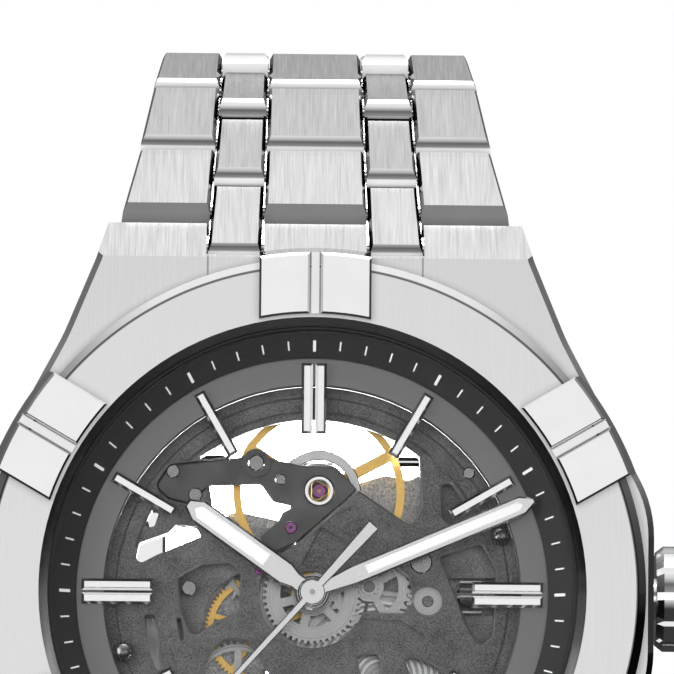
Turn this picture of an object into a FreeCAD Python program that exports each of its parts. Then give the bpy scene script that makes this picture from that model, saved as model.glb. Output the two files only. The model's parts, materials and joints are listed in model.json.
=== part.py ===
"""Skeleton wristwatch with an integrated five-column steel bracelet and a butterfly clasp.

Every shape is first made in watch coordinates: X towards 3 o'clock, Y towards 12 o'clock and Z out of the
dial, with the origin on the hand axis at the outer face of the case back. UPRIGHT then stands the watch up,
so that +Z points to 12 o'clock, +X to the crown and -Y out of the dial. Lengths are millimetres.
"""
import FreeCAD, Part
import math
import os
import re
import Sketcher

from FreeCAD import Placement, Rotation, Vector

os.makedirs("parts", exist_ok=True)
doc = FreeCAD.newDocument("skeleton_watch")

UPRIGHT = Placement(Vector(0, 0, 0), Rotation(Vector(1, 0, 0), 90))
TOP = Vector(0, 0, 1)
ACROSS = Vector(1, 0, 0)

# --- driving dimensions -------------------------------------------------------------------------------

DIMENSIONS = {
    # case
    "case_half_width": 19.65, "case_low": 0.9, "case_top": 8.7, "case_edge": 0.35,
    "case_bore": 15.2, "movement_bore": 12.1, "movement_low": 2.1, "movement_top": 6.25,
    "lug_half_width": 11.85, "lug_reach": 22.0, "lug_break": 19.3, "facet_slope": 53.5, "lug_gap": 0.2,
    "back_outer": 16.45, "back_seat": 16.5, "back_seat_top": 1.6, "back_window": 12.9, "back_face": 1.3,
    # bezel, crystal and dial
    "bezel_inner": 15.22, "bezel_outer": 19.15, "bezel_low": 8.75, "bezel_top": 10.3, "bezel_bevel": 0.5,
    "claw_inner": 15.9, "claw_outer": 19.4, "claw_foot": 19.85, "claw_top": 10.7,
    "claw_block": 2.9, "claw_groove": 0.64, "claw_bar_top": 10.5, "claw_edge": 0.12,
    "crystal_radius": 15.05, "crystal_low": 8.95, "crystal_top": 10.05, "crystal_edge": 0.15,
    "flange_inner": 13.6, "flange_low": 6.95, "flange_top": 8.4,
    "ring_inner": 12.0, "ring_low": 6.3, "ring_top": 6.9,
    "marker_inner": 9.2, "marker_outer": 13.3, "marker_width": 0.66, "marker_height": 0.6,
    "marker_gap": 0.14, "marker_edge": 0.16,
    # hands
    "hour_length": 8.9, "hour_width": 1.4, "hour_level": 7.55,
    "minute_length": 13.9, "minute_width": 1.1, "minute_level": 7.95,
    "seconds_length": 13.2, "seconds_tail": 5.25, "seconds_level": 8.35, "hand_thickness": 0.2,
    # movement levels and centres
    "movement_radius": 12.0,
    "bridge_low": 5.6, "bridge_top": 6.2, "plate_low": 4.3, "plate_top": 4.9,
    "train_low": 2.15, "train_top": 2.5,
    "balance_x": 0.35, "balance_y": 6.0, "balance_radius": 4.97, "balance_rim": 0.45,
    "balance_low": 4.38, "balance_top": 4.78, "balance_clear": 5.2,
    "pallet_x": -1.27, "pallet_y": 3.87, "escape_x": -3.08, "escape_y": 1.38,
    "third_x": -3.0, "third_y": -1.87, "minute_x": 3.3, "minute_y": 0.52,
    "setting_x": 6.7, "setting_y": -0.3, "barrel_x": 4.045, "barrel_y": -4.704,
    "winding_x": -4.25, "winding_y": -5.4,
    # teeth
    "center_teeth": 80, "third_pinion_teeth": 10, "third_teeth": 75, "fourth_pinion_teeth": 10,
    "fourth_teeth": 84, "escape_pinion_teeth": 7, "escape_teeth": 20, "cannon_teeth": 12,
    "minute_teeth": 30, "minute_pinion_teeth": 10, "hour_teeth": 48, "setting_teeth": 14,
    "barrel_teeth": 72, "center_pinion_teeth": 10, "winding_teeth": 44, "ratchet_teeth": 40,
    # crown and stem
    "crown_radius": 3.05, "crown_start": 19.85, "crown_length": 3.7, "crown_level": 4.6,
    "crown_notch": 0.45, "crown_notches": 12, "stem_radius": 0.4, "stem_start": 8.4,
    "pinion_start": 8.55, "pinion_length": 1.3, "pinion_teeth": 14, "pinion_module": 0.125,
    # rotor
    "rotor_radius": 11.6, "rotor_rim": 2.0, "rotor_low": 1.42, "rotor_web_top": 1.7, "rotor_top": 2.05,
    # bracelet
    "pitch": 6.9, "half_thickness": 1.35, "column_gap": 0.09, "row_gap": 0.14, "inner_relief": 0.36,
    "roll_length": 0.95, "roll_drop": 0.85, "first_bevel": 1.2, "face_fall": 0.5, "face_edge": 0.12,
    "side_bevel": 0.42, "pin_radius": 0.42, "pin_clearance": 0.04,
    "pivot_y": 19.86, "pivot_z": 6.2, "band_start": 11.6, "band_end": 8.0, "narrow_start": 6.2,
    "narrow_end": 5.2, "centre_start": 3.06, "centre_end": 2.6, "taper_length": 19.0,
    # clasp
    "blade_pivot": 1.9, "plate_pivot": 10.9, "blade_half_width": 4.4, "blade_thickness": 0.85,
    "blade_nose": 0.5, "nose_flat": 0.2, "nose_slope": 0.15,
    "clasp_gap": 0.15, "knuckle_radius": 0.78, "knuckle_half": 1.3, "clasp_pin": 0.35, "ear_width": 1.0,
    "button_length": 3.4, "button_height": 1.5, "button_proud": 0.9,
}

sheet = doc.addObject("Spreadsheet::Sheet", "dims")
for row, (alias, number) in enumerate(DIMENSIONS.items(), start=1):
    sheet.set("A%d" % row, alias)
    sheet.set("B%d" % row, str(number))
    sheet.setAlias("B%d" % row, alias)
doc.recompute()


class Sizes:
    """Reads a driving dimension from the sheet by its alias."""

    def __getattr__(self, alias):
        return float(sheet.get(alias))


d = Sizes()
PARTS = []


def cells(expression):
    """The expression with every word written as a cell of the sheet."""
    return re.sub(r"[a-z][a-z_]*", lambda word: "dims." + word.group(0), expression)


def number(expression):
    return float(sheet.evalExpression(cells(expression)))


def keep(item, label, placement=UPRIGHT):
    """Names a finished sub-part and moves it from watch coordinates to its place."""
    item.Label = label
    item.Placement = placement.multiply(item.Placement)
    PARTS.append(item)
    return item


def feature(label, shape, placement=UPRIGHT):
    """A sub-part whose shape comes from Part's functions."""
    item = doc.addObject("Part::Feature", label)
    item.Shape = shape
    return keep(item, label, placement)


# --- parametric helpers -------------------------------------------------------------------------------

def origin_plane(body, role):
    return next(plane for plane in body.Origin.OriginFeatures if plane.Role == role)


def bound_sketch(body, name, role, corners):
    """A closed outline on one of the body's planes; each corner is a pair of sheet expressions."""
    sketch = body.newObject("Sketcher::SketchObject", name)
    sketch.AttachmentSupport = [(origin_plane(body, role), "")]
    sketch.MapMode = "FlatFace"
    points = [Vector(number(x), number(y), 0) for x, y in corners]
    for index, point in enumerate(points):
        sketch.addGeometry(Part.LineSegment(point, points[(index + 1) % len(points)]), False)
    for index in range(len(points)):
        following = (index + 1) % len(points)
        sketch.addConstraint(Sketcher.Constraint("Coincident", index, 2, following, 1))
    for index, (corner, point) in enumerate(zip(corners, points)):
        for direction, expression, value, axis in (("DistanceX", corner[0], point.x, -2),
                                                   ("DistanceY", corner[1], point.y, -1)):
            if abs(value) < 1e-9:
                sketch.addConstraint(Sketcher.Constraint("PointOnObject", index, 1, axis))
                continue
            rule = sketch.addConstraint(Sketcher.Constraint(direction, -1, 1, index, 1, value))
            sketch.setExpression("Constraints[%d]" % rule, cells(expression))
    return sketch


def turned_body(name, corners):
    """A body turned about the watch's Z axis from (radius, height) corners."""
    body = doc.addObject("PartDesign::Body", name)
    sketch = bound_sketch(body, name + "_profile", "XZ_Plane", corners)
    turn = body.newObject("PartDesign::Revolution", name + "_turn")
    turn.Profile = sketch
    turn.ReferenceAxis = (sketch, ["V_Axis"])
    turn.Angle = 360
    doc.recompute()
    return body


def cut(name, base, tool):
    item = doc.addObject("Part::Cut", name)
    item.Base = base
    item.Tool = tool
    return item


def fuse(name, items):
    item = doc.addObject("Part::MultiFuse", name)
    item.Shapes = items
    return item


# --- shape helpers ------------------------------------------------------------------------------------

def disc(radius, low, high, x=0.0, y=0.0):
    return Part.makeCylinder(radius, high - low, Vector(x, y, low))


def ring(inner, outer, low, high, x=0.0, y=0.0):
    return disc(outer, low, high, x, y).cut(disc(inner, low - 1, high + 1, x, y))


def block(x_low, x_high, y_low, y_high, z_low, z_high):
    return Part.makeBox(x_high - x_low, y_high - y_low, z_high - z_low, Vector(x_low, y_low, z_low))


def joined(shapes):
    """One solid from several that touch or overlap."""
    return shapes[0].multiFuse(shapes[1:]).removeSplitter() if len(shapes) > 1 else shapes[0]


def rounded_wire(corners):
    """A closed wire of straight runs; a corner (x, y, radius) is an arc of that radius."""
    edges = []
    starts = []
    ends = []
    count = len(corners)
    for index, corner in enumerate(corners):
        here = Vector(corner[0], corner[1], 0)
        radius = corner[2] if len(corner) > 2 else 0.0
        before = Vector(corners[index - 1][0], corners[index - 1][1], 0) - here
        after = Vector(corners[(index + 1) % count][0], corners[(index + 1) % count][1], 0) - here
        if radius == 0.0:
            starts.append(here)
            ends.append(here)
            continue
        half = before.getAngle(after) / 2
        reach = min(radius / math.tan(half), 0.49 * before.Length, 0.49 * after.Length)
        radius = reach * math.tan(half)
        enter = here + before.normalize() * reach
        leave = here + after.normalize() * reach
        middle = here + (before + after).normalize() * (radius / math.sin(half) - radius)
        edges.append(Part.Arc(enter, middle, leave).toShape())
        starts.append(enter)
        ends.append(leave)
    for index in range(count):
        start = ends[index]
        finish = starts[(index + 1) % count]
        if start.distanceToPoint(finish) > 1e-6:
            edges.append(Part.LineSegment(start, finish).toShape())
    return Part.Wire(Part.__sortEdges__(edges))


def plate(corners, low, high):
    """A flat piece between two heights with a rounded outline."""
    face = Part.Face(rounded_wire(corners))
    face.translate(Vector(0, 0, low))
    return face.extrude(Vector(0, 0, high - low))


def flared_opening(corners, top, bevel):
    """The tool for an opening whose upper edge is bevelled: a prism that flares out near the top."""
    wire = rounded_wire(corners).makeOffset2D(bevel)
    face = Part.Face(wire)
    face.translate(Vector(0, 0, top - bevel))
    flare = face.extrude(Vector(0, 0, 6))
    flare = chamfered(flare, 0.98 * bevel, flat_at(top - bevel))
    return plate(corners, 0, top + 1).fuse(flare)


def side_prism(corners, x_low, x_high):
    """A prism along X from (y, z) corners."""
    points = [Vector(x_low, y, z) for y, z in corners]
    face = Part.Face(Part.makePolygon(points + points[:1]))
    return face.extrude(Vector(x_high - x_low, 0, 0))


def around(shape, angles):
    """Copies of a shape turned about the hand axis."""
    copies = []
    for angle in angles:
        copy = shape.copy()
        copy.rotate(Vector(0, 0, 0), TOP, angle)
        copies.append(copy)
    return copies


def clock_place(radius, degrees):
    """The point at a radius and an angle clockwise from 12 o'clock."""
    angle = math.radians(90 - degrees)
    return radius * math.cos(angle), radius * math.sin(angle)


def chamfered(shape, size, wanted):
    """The shape with the edges that wanted() accepts bevelled."""
    edges = [edge for edge in shape.Edges if wanted(edge)]
    bevelled = shape.makeChamfer(size, edges)
    if not bevelled.isValid():
        raise RuntimeError("a bevel of %.2f failed" % size)
    return bevelled


def flat_at(level):
    """Accepts the edges that lie in the plane at one height."""
    def wanted(edge):
        box = edge.BoundBox
        return abs(box.ZMin - level) < 1e-4 and abs(box.ZMax - level) < 1e-4
    return wanted


def toothed(teeth, module, low, high, phase=0.0, x=0.0, y=0.0):
    """A spur wheel blank with straight-sided teeth; phase is the angle of one tooth's middle."""
    pitch_radius = module * teeth / 2
    tip = pitch_radius + 0.8 * module
    root = pitch_radius - 1.05 * module
    pitch = 2 * math.pi / teeth
    points = []
    for tooth in range(teeth):
        middle = math.radians(phase) + tooth * pitch
        for radius, share in ((root, -0.34), (tip, -0.13), (tip, 0.13), (root, 0.34)):
            angle = middle + share * pitch
            points.append(Vector(x + radius * math.cos(angle), y + radius * math.sin(angle), low))
    face = Part.Face(Part.makePolygon(points + points[:1]))
    return face.extrude(Vector(0, 0, high - low))


def spoke_windows(inner, outer, spokes, width, low, high, x, y, turn=0.0):
    """The openings between the spokes of a wheel."""
    windows = ring(inner, outer, low - 0.1, high + 0.1, x, y)
    for spoke in range(spokes):
        bar = block(0, outer + 1, -width / 2, width / 2, low - 0.2, high + 0.2)
        bar.rotate(Vector(0, 0, 0), TOP, turn + 360.0 * spoke / spokes)
        bar.translate(Vector(x, y, 0))
        windows = windows.cut(bar)
    return windows


def bearing(from_x, from_y, to_x, to_y):
    return math.degrees(math.atan2(to_y - from_y, to_x - from_x))


def mesh_phase(phase, teeth, angle, other_teeth):
    """The phase of a wheel that lies at an angle from another and has a gap where that one has a tooth."""
    offset = ((phase - angle) * teeth / 360.0) % 1.0
    return angle + 180.0 + (0.5 - offset) * 360.0 / other_teeth


def module_between(x, y, other_x, other_y, teeth, other_teeth):
    return 2 * math.hypot(other_x - x, other_y - y) / (teeth + other_teeth)


# --- case ---------------------------------------------------------------------------------------------

def case_outline():
    quarter = [(d.lug_half_width, d.lug_reach, 0.8), (12.6, d.lug_break, 4.0), (14.5, 14.7, 14.0),
               (d.case_half_width, 5.07, 7.0)]
    lower_right = [(x, -y, r) for x, y, r in reversed(quarter)]
    lower_left = [(-x, -y, r) for x, y, r in quarter]
    upper_left = [(-x, y, r) for x, y, r in reversed(quarter)]
    return quarter + lower_right + lower_left + upper_left


def lug_shape_cuts():
    """Everything cut from the 12 o'clock lugs: facet, end face, strip slots, pin holes, panel lines."""
    place = link_place(1, 0)
    wide = 2 * d.lug_half_width
    facet = Part.makeBox(2 * wide, 20, 12, Vector(-wide, 0, 0))
    facet.Placement = Placement(Vector(0, d.lug_break, d.case_top), Rotation(ACROSS, -d.facet_slope))
    beyond = Part.makeBox(2 * wide, 20, 20, Vector(-wide, d.pitch / 4 - d.lug_gap, -12))
    beyond.Placement = place
    under = side_prism([(17.2, -1), (17.2, d.case_low - 0.2), (19.55, 4.0), (24, 4.0), (24, -1)], -20, 20)
    cuts = [facet, beyond, under]
    for side in (-1, 1):
        low, high = sorted((side * (d.centre_start - d.column_gap), side * (d.narrow_start + d.column_gap)))
        corner = Vector(low, -d.pitch / 4 - d.lug_gap, -d.half_thickness - 0.3)
        slot = Part.makeBox(high - low, 20, 20, corner)
        slot.Placement = place
        cuts.append(slot)
        for edge in (d.centre_start, d.narrow_start):
            seam = side * edge
            cuts.append(block(seam - 0.05, seam + 0.05, 17, d.lug_break + 1, d.case_top - 0.15, 10))
    reach = d.lug_half_width - 0.9
    hole = Part.makeCylinder(d.pin_radius + d.pin_clearance, 2 * reach, Vector(-reach, d.pivot_y, d.pivot_z),
                             ACROSS)
    cuts.append(hole)
    return cuts


def make_mid_case():
    body = plate(case_outline(), d.case_low, d.case_top)
    body = chamfered(body, d.case_edge, flat_at(d.case_top))
    cuts = lug_shape_cuts()
    for shape in list(cuts):
        other = shape.copy()
        other.rotate(Vector(0, 0, 0), TOP, 180)
        cuts.append(other)
    cuts += [disc(d.case_bore, d.movement_top + 0.05, 12), disc(d.movement_bore, 0, 12),
             disc(d.back_seat, 0, d.back_seat_top), disc(d.case_bore, 0, d.movement_low)]
    cuts.append(Part.makeCylinder(d.stem_radius + 0.05, 30, Vector(5, 0, d.crown_level), ACROSS))
    cuts.append(Part.makeCylinder(1.25, 30, Vector(18.0, 0, d.crown_level), ACROSS))
    return feature("mid_case", body.cut(cuts))


def make_bezel():
    turned_body("bezel_ring", [
        ("bezel_inner", "bezel_low"), ("bezel_outer", "bezel_low"), ("bezel_outer", "bezel_top - bezel_bevel"),
        ("bezel_outer - bezel_bevel", "bezel_top"), ("bezel_inner + bezel_bevel", "bezel_top"),
        ("bezel_inner", "bezel_top - bezel_bevel")])
    profile = [(d.claw_inner, d.bezel_low + 0.8), (d.claw_inner, d.claw_top), (d.claw_outer, d.claw_top),
               (d.claw_foot, d.bezel_low), (d.bezel_outer - 0.1, d.bezel_low)]
    points = [Vector(radius, 0, height) for radius, height in profile]
    hoop = Part.Face(Part.makePolygon(points + points[:1])).revolve(Vector(0, 0, 0), TOP, 360)
    inner = d.claw_groove / 2
    claws = []
    for side in (-1, 1):
        low, high = sorted((side * inner, side * (inner + d.claw_block)))
        claw = hoop.common(block(low, high, 10, 25, 0, 12))
        claws.append(chamfered(claw, d.claw_edge, flat_at(d.claw_top)))
    bar = hoop.common(block(-inner, inner, 10, 25, 0, d.claw_bar_top))
    claws.append(bar.cut(block(-inner, -inner + 0.09, 10, 25, d.bezel_top - 0.1, 12)).cut(
        block(inner - 0.09, inner, 10, 25, d.bezel_top - 0.1, 12)))
    blocks = doc.addObject("Part::Feature", "bezel_claws")
    blocks.Shape = Part.makeCompound(around(joined(claws), [60 * step for step in range(6)]))
    return keep(fuse("bezel_with_claws", [doc.getObject("bezel_ring"), blocks]), "bezel")


def make_glass_and_dial():
    keep(turned_body("crystal_disc", [
        ("0", "crystal_low"), ("crystal_radius", "crystal_low"), ("crystal_radius", "crystal_top - crystal_edge"),
        ("crystal_radius - crystal_edge", "crystal_top"), ("0", "crystal_top")]), "crystal")
    keep(turned_body("flange_turned", [
        ("flange_inner", "flange_low"), ("case_bore - 0.1", "flange_low"), ("case_bore - 0.1", "flange_top"),
        ("case_bore - 0.25", "flange_top"), ("flange_inner", "flange_low + 0.2")]), "flange_ring")
    keep(turned_body("dial_turned", [
        ("ring_inner", "ring_low"), ("case_bore - 0.1", "ring_low"), ("case_bore - 0.1", "ring_top"),
        ("ring_inner + 0.08", "ring_top"), ("ring_inner", "ring_top - 0.08")]), "dial_ring")
    blank = turned_body("back_turned", [
        ("back_window", "0"), ("back_outer - 0.5", "0"), ("back_outer", "0.5"), ("back_outer", "back_face"),
        ("back_window", "back_face")])
    notch = doc.addObject("Part::Feature", "back_notches")
    notch.Shape = Part.makeCompound(around(block(-1.1, 1.1, 14.9, 17, -1, 0.45), range(0, 360, 60)))
    keep(cut("case_back_cut", blank, notch), "case_back")
    keep(bound_cylinder_at("back_glass", "back_window - 0.02", "1", "0.2"), "back_crystal")


def bound_cylinder_at(name, radius, height, low):
    """A cylinder on the hand axis, turned in a body so that its height can be bound."""
    return turned_body(name, [("0", low), (radius, low), (radius, low + " + " + height),
                              ("0", low + " + " + height)])


def make_seals():
    crystal_seal = ring(d.crystal_radius + 0.02, d.bezel_inner - 0.02, d.crystal_low, d.crystal_low + 0.7)
    back_seal = ring(15.4, 16.1, d.back_face + 0.02, d.back_seat_top - 0.02)
    crown_seal = Part.makeTorus(0.82, 0.28, Vector(18.36, 0, d.crown_level), ACROSS)
    return feature("case_seals", Part.makeCompound([crystal_seal, back_seal, crown_seal]))


def marker_bar(offset):
    """One applied bar along +Y: ridged top, bevelled ends, standing on the dial ring."""
    half = d.marker_width / 2
    bar = block(offset - half, offset + half, d.marker_inner, d.marker_outer, d.ring_top,
                d.ring_top + d.marker_height)
    return chamfered(bar, d.marker_edge, flat_at(d.ring_top + d.marker_height))


def make_markers():
    double = (d.marker_width + d.marker_gap) / 2
    bars = []
    for hour in range(12):
        offsets = (-double, double) if hour % 3 == 0 else (0.0,)
        for offset in offsets:
            bars += around(marker_bar(offset), [-30 * hour])
    return feature("hour_markers", Part.makeCompound(bars))


# --- hands --------------------------------------------------------------------------------------------

def hand(outline, level, hub, bore, edge):
    """A hand that points to 12, bevelled along its upper edges, with its hub."""
    top = level + d.hand_thickness
    blade = plate(outline, level, top)
    body = joined([blade, disc(hub, level, top)])
    body = chamfered(body, edge, flat_at(top))
    return body.cut(disc(bore, level - 1, top + 1))


def make_hands():
    half = d.hour_width / 2
    hour = hand([(-0.5, 0, 0), (-0.5, 1.2, 0.2), (-half, 1.9, 0.3), (-half, 8.1, 0), (-0.25, d.hour_length, 0),
                 (0.25, d.hour_length, 0), (half, 8.1, 0), (half, 1.9, 0.3), (0.5, 1.2, 0.2), (0.5, 0, 0)],
                d.hour_level, 1.0, 0.62, 0.12)
    half = d.minute_width / 2
    minute = hand([(-0.3, 0, 0), (-half, 2.6, 0), (-half, 13.1, 0), (-0.15, d.minute_length, 0),
                   (0.15, d.minute_length, 0), (half, 13.1, 0), (half, 2.6, 0), (0.3, 0, 0)],
                  d.minute_level, 0.85, 0.4, 0.1)
    seconds = hand([(-0.2, 0, 0), (-0.13, d.seconds_length, 0), (0.13, d.seconds_length, 0), (0.2, 0, 0),
                    (0.36, -d.seconds_tail, 0), (-0.36, -d.seconds_tail, 0)],
                   d.seconds_level, 0.72, 0.16, 0.05)
    for label, shape, clock in (("hour_hand", hour, 305.3), ("minute_hand", minute, 66.9),
                                ("seconds_hand", seconds, 222.0)):
        feature(label, around(shape, [-clock])[0])


# --- movement: plates and bridges ---------------------------------------------------------------------

def see_through():
    """The openings that pass through the whole movement, in the upper left half."""
    return [
        [(-10.3, 1.5, 0.3), (-10.0, 2.9, 0.3), (-8.3, 3.5, 0.3), (-7.9, 3.95, 0.2), (-6.7, 3.85, 0.2),
         (-6.4, 3.3, 0.15), (-9.0, 2.2, 0.8)],
        [(-9.75, 3.75, 0.15), (-9.35, 4.75, 0.15), (-8.85, 4.75, 0.15), (-9.15, 3.85, 0.15)],
        [(-6.75, 7.8, 0.2), (-5.3, 8.65, 0.15), (-4.9, 7.95, 0.15), (-6.2, 7.75, 0.2)],
        [(-9.7, -1.25, 0.2), (-9.1, -1.25, 0.2), (-8.45, -4.3, 0.2), (-8.9, -4.55, 0.2), (-9.5, -3.0, 2.0)],
        [(-7.85, -1.4, 0.12), (-7.55, -1.4, 0.12), (-7.35, -2.7, 0.12), (-7.6, -2.8, 0.12)],
        [(-8.2, -5.2, 0.2), (-7.6, -5.0, 0.2), (-7.0, -6.6, 0.3), (-5.6, -8.4, 0.3), (-6.1, -8.8, 0.2),
         (-7.5, -7.2, 2.0)],
    ]


def balance_opening():
    """The large opening round the balance, up to the rim of the plate."""
    corners = [(-6.0, 6.35, 0.3), (-4.75, 6.6, 0), (-4.9, 8.3, 0.4), (-4.3, 12.5, 0), (5.2, 12.5, 0),
               (5.75, 8.8, 0.5), (6.15, 8.0, 0.8), (6.25, 5.2, 0.6), (5.75, 3.95, 0.35),
               (2.64, 6.05, 0), (-0.95, 2.9, 0), (-2.2, 2.2, 0.2), (-3.4, 3.0, 0.3), (-5.7, 4.3, 0.4)]
    return corners


def bridge_windows():
    """The other windows of the dial-side bridge; the wheels and springs show through them."""
    return [
        [(1.25, -0.95, 0.2), (5.35, -1.05, 0.5), (5.85, -0.3, 0.4), (5.6, 0.95, 0.3), (4.6, 1.75, 0.4),
         (1.25, 0.95, 0.2)],
        [(7.35, 2.25, 0.2), (9.15, -2.1, 0.3), (9.75, -2.95, 0.45), (10.45, -2.3, 0.4), (10.6, 1.5, 0.3),
         (9.75, 3.0, 0.3)],
        [(7.45, 6.4, 0.25), (7.95, 6.5, 0.25), (8.7, 5.4, 0.4), (9.6, 5.0, 0.25), (9.6, 4.4, 0.2),
         (8.1, 4.0, 0.3), (7.5, 4.5, 0.3)],
        [(-7.75, 0.9, 0.3), (-6.4, 1.65, 0.4), (-4.75, 1.75, 0.3), (-4.15, 1.15, 0.4), (-4.2, -1.0, 0.4),
         (-5.6, -1.65, 0.4), (-6.9, -2.6, 0.4), (-7.55, -1.0, 0.6)],
        [(-5.7, -3.1, 0.3), (-4.9, -2.6, 0.4), (-3.7, -2.65, 0.4), (-2.4, -4.7, 0.6), (-2.9, -7.0, 0.8),
         (-5.2, -7.9, 0.8), (-6.8, -5.6, 0.8)],
        [(2.6, -3.5, 0.3), (3.9, -3.4, 0.3), (4.0, -4.5, 0.3), (3.0, -5.4, 0.3)],
        [(5.2, -3.4, 0.3), (6.8, -3.9, 0.5), (9.3, -5.6, 0.5), (8.6, -7.2, 0.5), (6.3, -8.9, 0.5),
         (4.6, -8.2, 0.5), (6.1, -6.6, 0.6), (6.0, -5.2, 0.6)],
        [(-0.9, -5.0, 0.4), (1.5, -5.2, 0.4), (2.6, -7.6, 0.5), (1.2, -9.6, 0.5), (-1.5, -9.4, 0.5),
         (-1.9, -7.0, 0.6)],
    ]


def screw_places():
    """(x, y, head radius, lowest level) of the movement's screws."""
    return [(6.29, 1.89, 0.62, d.plate_top), (-8.1, 7.05, 0.38, d.bridge_low), (-6.8, 5.7, 0.4, d.bridge_low),
            (-7.1, 0.3, 0.42, d.plate_top), (9.0, 7.1, 0.34, d.bridge_low), (-9.6, -6.4, 0.42, d.bridge_low),
            (9.9, -5.2, 0.42, d.bridge_low), (0.2, -10.9, 0.42, d.bridge_low)]


def jewel_places():
    """(x, y, radius, low, high) of the rubies."""
    return [(d.balance_x, d.balance_y, 0.42, d.plate_top + 0.55, d.bridge_top - 0.2),
            (d.pallet_x, d.pallet_y, 0.36, d.plate_top + 0.45, d.bridge_top - 0.25),
            (d.escape_x, d.escape_y, 0.26, d.bridge_low + 0.1, d.bridge_top - 0.02),
            (d.third_x, d.third_y, 0.3, d.train_low + 0.05, d.train_top),
            (d.winding_x, d.winding_y, 0.34, d.train_low + 0.05, d.train_top)]


def post_places():
    return [clock_place(11.4, 72.4), clock_place(11.4, 252.4)]


def make_dial_bridge():
    low, top = d.bridge_low, d.bridge_top
    body = disc(d.movement_radius, low, top)
    hub_opening = disc(3.1, 0, 12).cut(plate([(-2.7, 1.75), (-0.95, 2.9), (2.64, 6.05), (5.5, 4.0), (5.0, 0.7),
                                              (1.1, 0.75), (-0.9, 0.95)], -1, 13))
    cuts = [flared_opening(balance_opening(), top, 0.12).common(disc(10.1, 0, 12)),
            hub_opening, disc(1.35, 0, 12), disc(0.85, 0, 12, d.setting_x, d.setting_y)]
    cuts += [flared_opening(corners, top, 0.1) for corners in bridge_windows()]
    cuts += [plate(corners, 0, 12) for corners in see_through()]
    body = body.cut(cuts)
    body = max(body.Solids, key=lambda solid: solid.Volume)
    panels = [plate([(-0.75, 1.55, 0.3), (0.9, 1.45, 0.2), (2.3, 2.9, 0.2), (0.45, 3.95, 0.2)], top - 0.14, 12),
              plate([(0.7, 4.2, 0.2), (2.5, 3.15, 0.2), (3.5, 4.2, 0.2), (2.4, 5.25, 0.2)], top - 0.08, 12),
              plate([(1.7, -1.35, 0.15), (5.1, -1.45, 0.2), (6.7, -2.4, 0.3), (6.2, -2.7, 0.3),
                     (1.5, -2.65, 0.3)], top - 0.1, 12),
              plate([(6.9, 8.8, 0.4), (7.9, 8.1, 0.4), (8.9, 6.2, 0.4), (7.4, 7.1, 0.5), (6.8, 7.9, 0.5)],
                    top - 0.1, 12),
              ring(10.45, 10.6, top - 0.12, 12).common(block(-12, 12, 2.6, 12, 0, 12)),
              ring(11.3, 11.42, top - 0.12, 12)]
    holes = [disc(radius + 0.02, 0, 12, x, y) for x, y, radius, low_level in screw_places()]
    holes += [disc(radius + 0.02, 0, 12, x, y) for x, y, radius, low_level, high in jewel_places()[2:3]]
    holes += [disc(0.3, 0, 12, x, y) for x, y in post_places()]
    holes.append(arm_shape(low - 1, top + 1, 0.06))
    return feature("dial_bridge", body.cut(panels + holes))


def arm_shape(low, high, margin=0.0):
    """The balance bridge's outline; margin widens it for the seat that it lies in."""
    corners = [(-9.1, 6.2, 0.4), (-8.3, 7.4, 0.5), (-6.6, 7.6, 0.8), (-4.2, 7.9, 0.6), (-3.3, 8.35, 0.75),
               (-2.4, 7.85, 0.5), (-0.7, 7.45, 0.8), (1.3, 7.45, 0.6), (2.55, 6.1, 0.1), (-0.95, 3.02, 0),
               (-2.1, 2.45, 0.4), (-3.3, 3.1, 0.4), (-2.0, 4.2, 0.4), (-1.75, 4.75, 0.3), (-1.0, 5.1, 0.3),
               (-2.3, 5.35, 0.5), (-3.0, 6.35, 0.4), (-6.0, 6.25, 0.6), (-7.2, 5.2, 0.5), (-8.4, 5.5, 0.5)]
    wire = rounded_wire(corners)
    if margin:
        wire = wire.makeOffset2D(margin)
    face = Part.Face(wire)
    face.translate(Vector(0, 0, low))
    return face.extrude(Vector(0, 0, high - low))


def make_balance_bridge():
    low, top = d.plate_top + 0.42, d.bridge_top - 0.12
    body = chamfered(arm_shape(low, top), 0.08, flat_at(top))
    bosses = [disc(0.82, top - 0.1, top + 0.12, -3.29, 7.58), disc(0.5, top - 0.1, top + 0.08, -1.86, 6.63)]
    body = joined([body] + bosses)
    cuts = [disc(0.9, 0, 12, d.balance_x, d.balance_y), disc(0.38, 0, 12, d.pallet_x, d.pallet_y),
            disc(0.47, 0, 12, -3.29, 7.58), disc(0.33, 0, 12, -1.86, 6.63)]
    holes = [disc(radius + 0.02, 0, 12, x, y) for x, y, radius, low_level in screw_places()]
    shock_seat = ring(0.44, 0.88, d.plate_top + 0.45, top + 0.06, d.balance_x, d.balance_y)
    return feature("balance_bridge", Part.makeCompound([body.cut(cuts + holes), shock_seat]))


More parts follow.
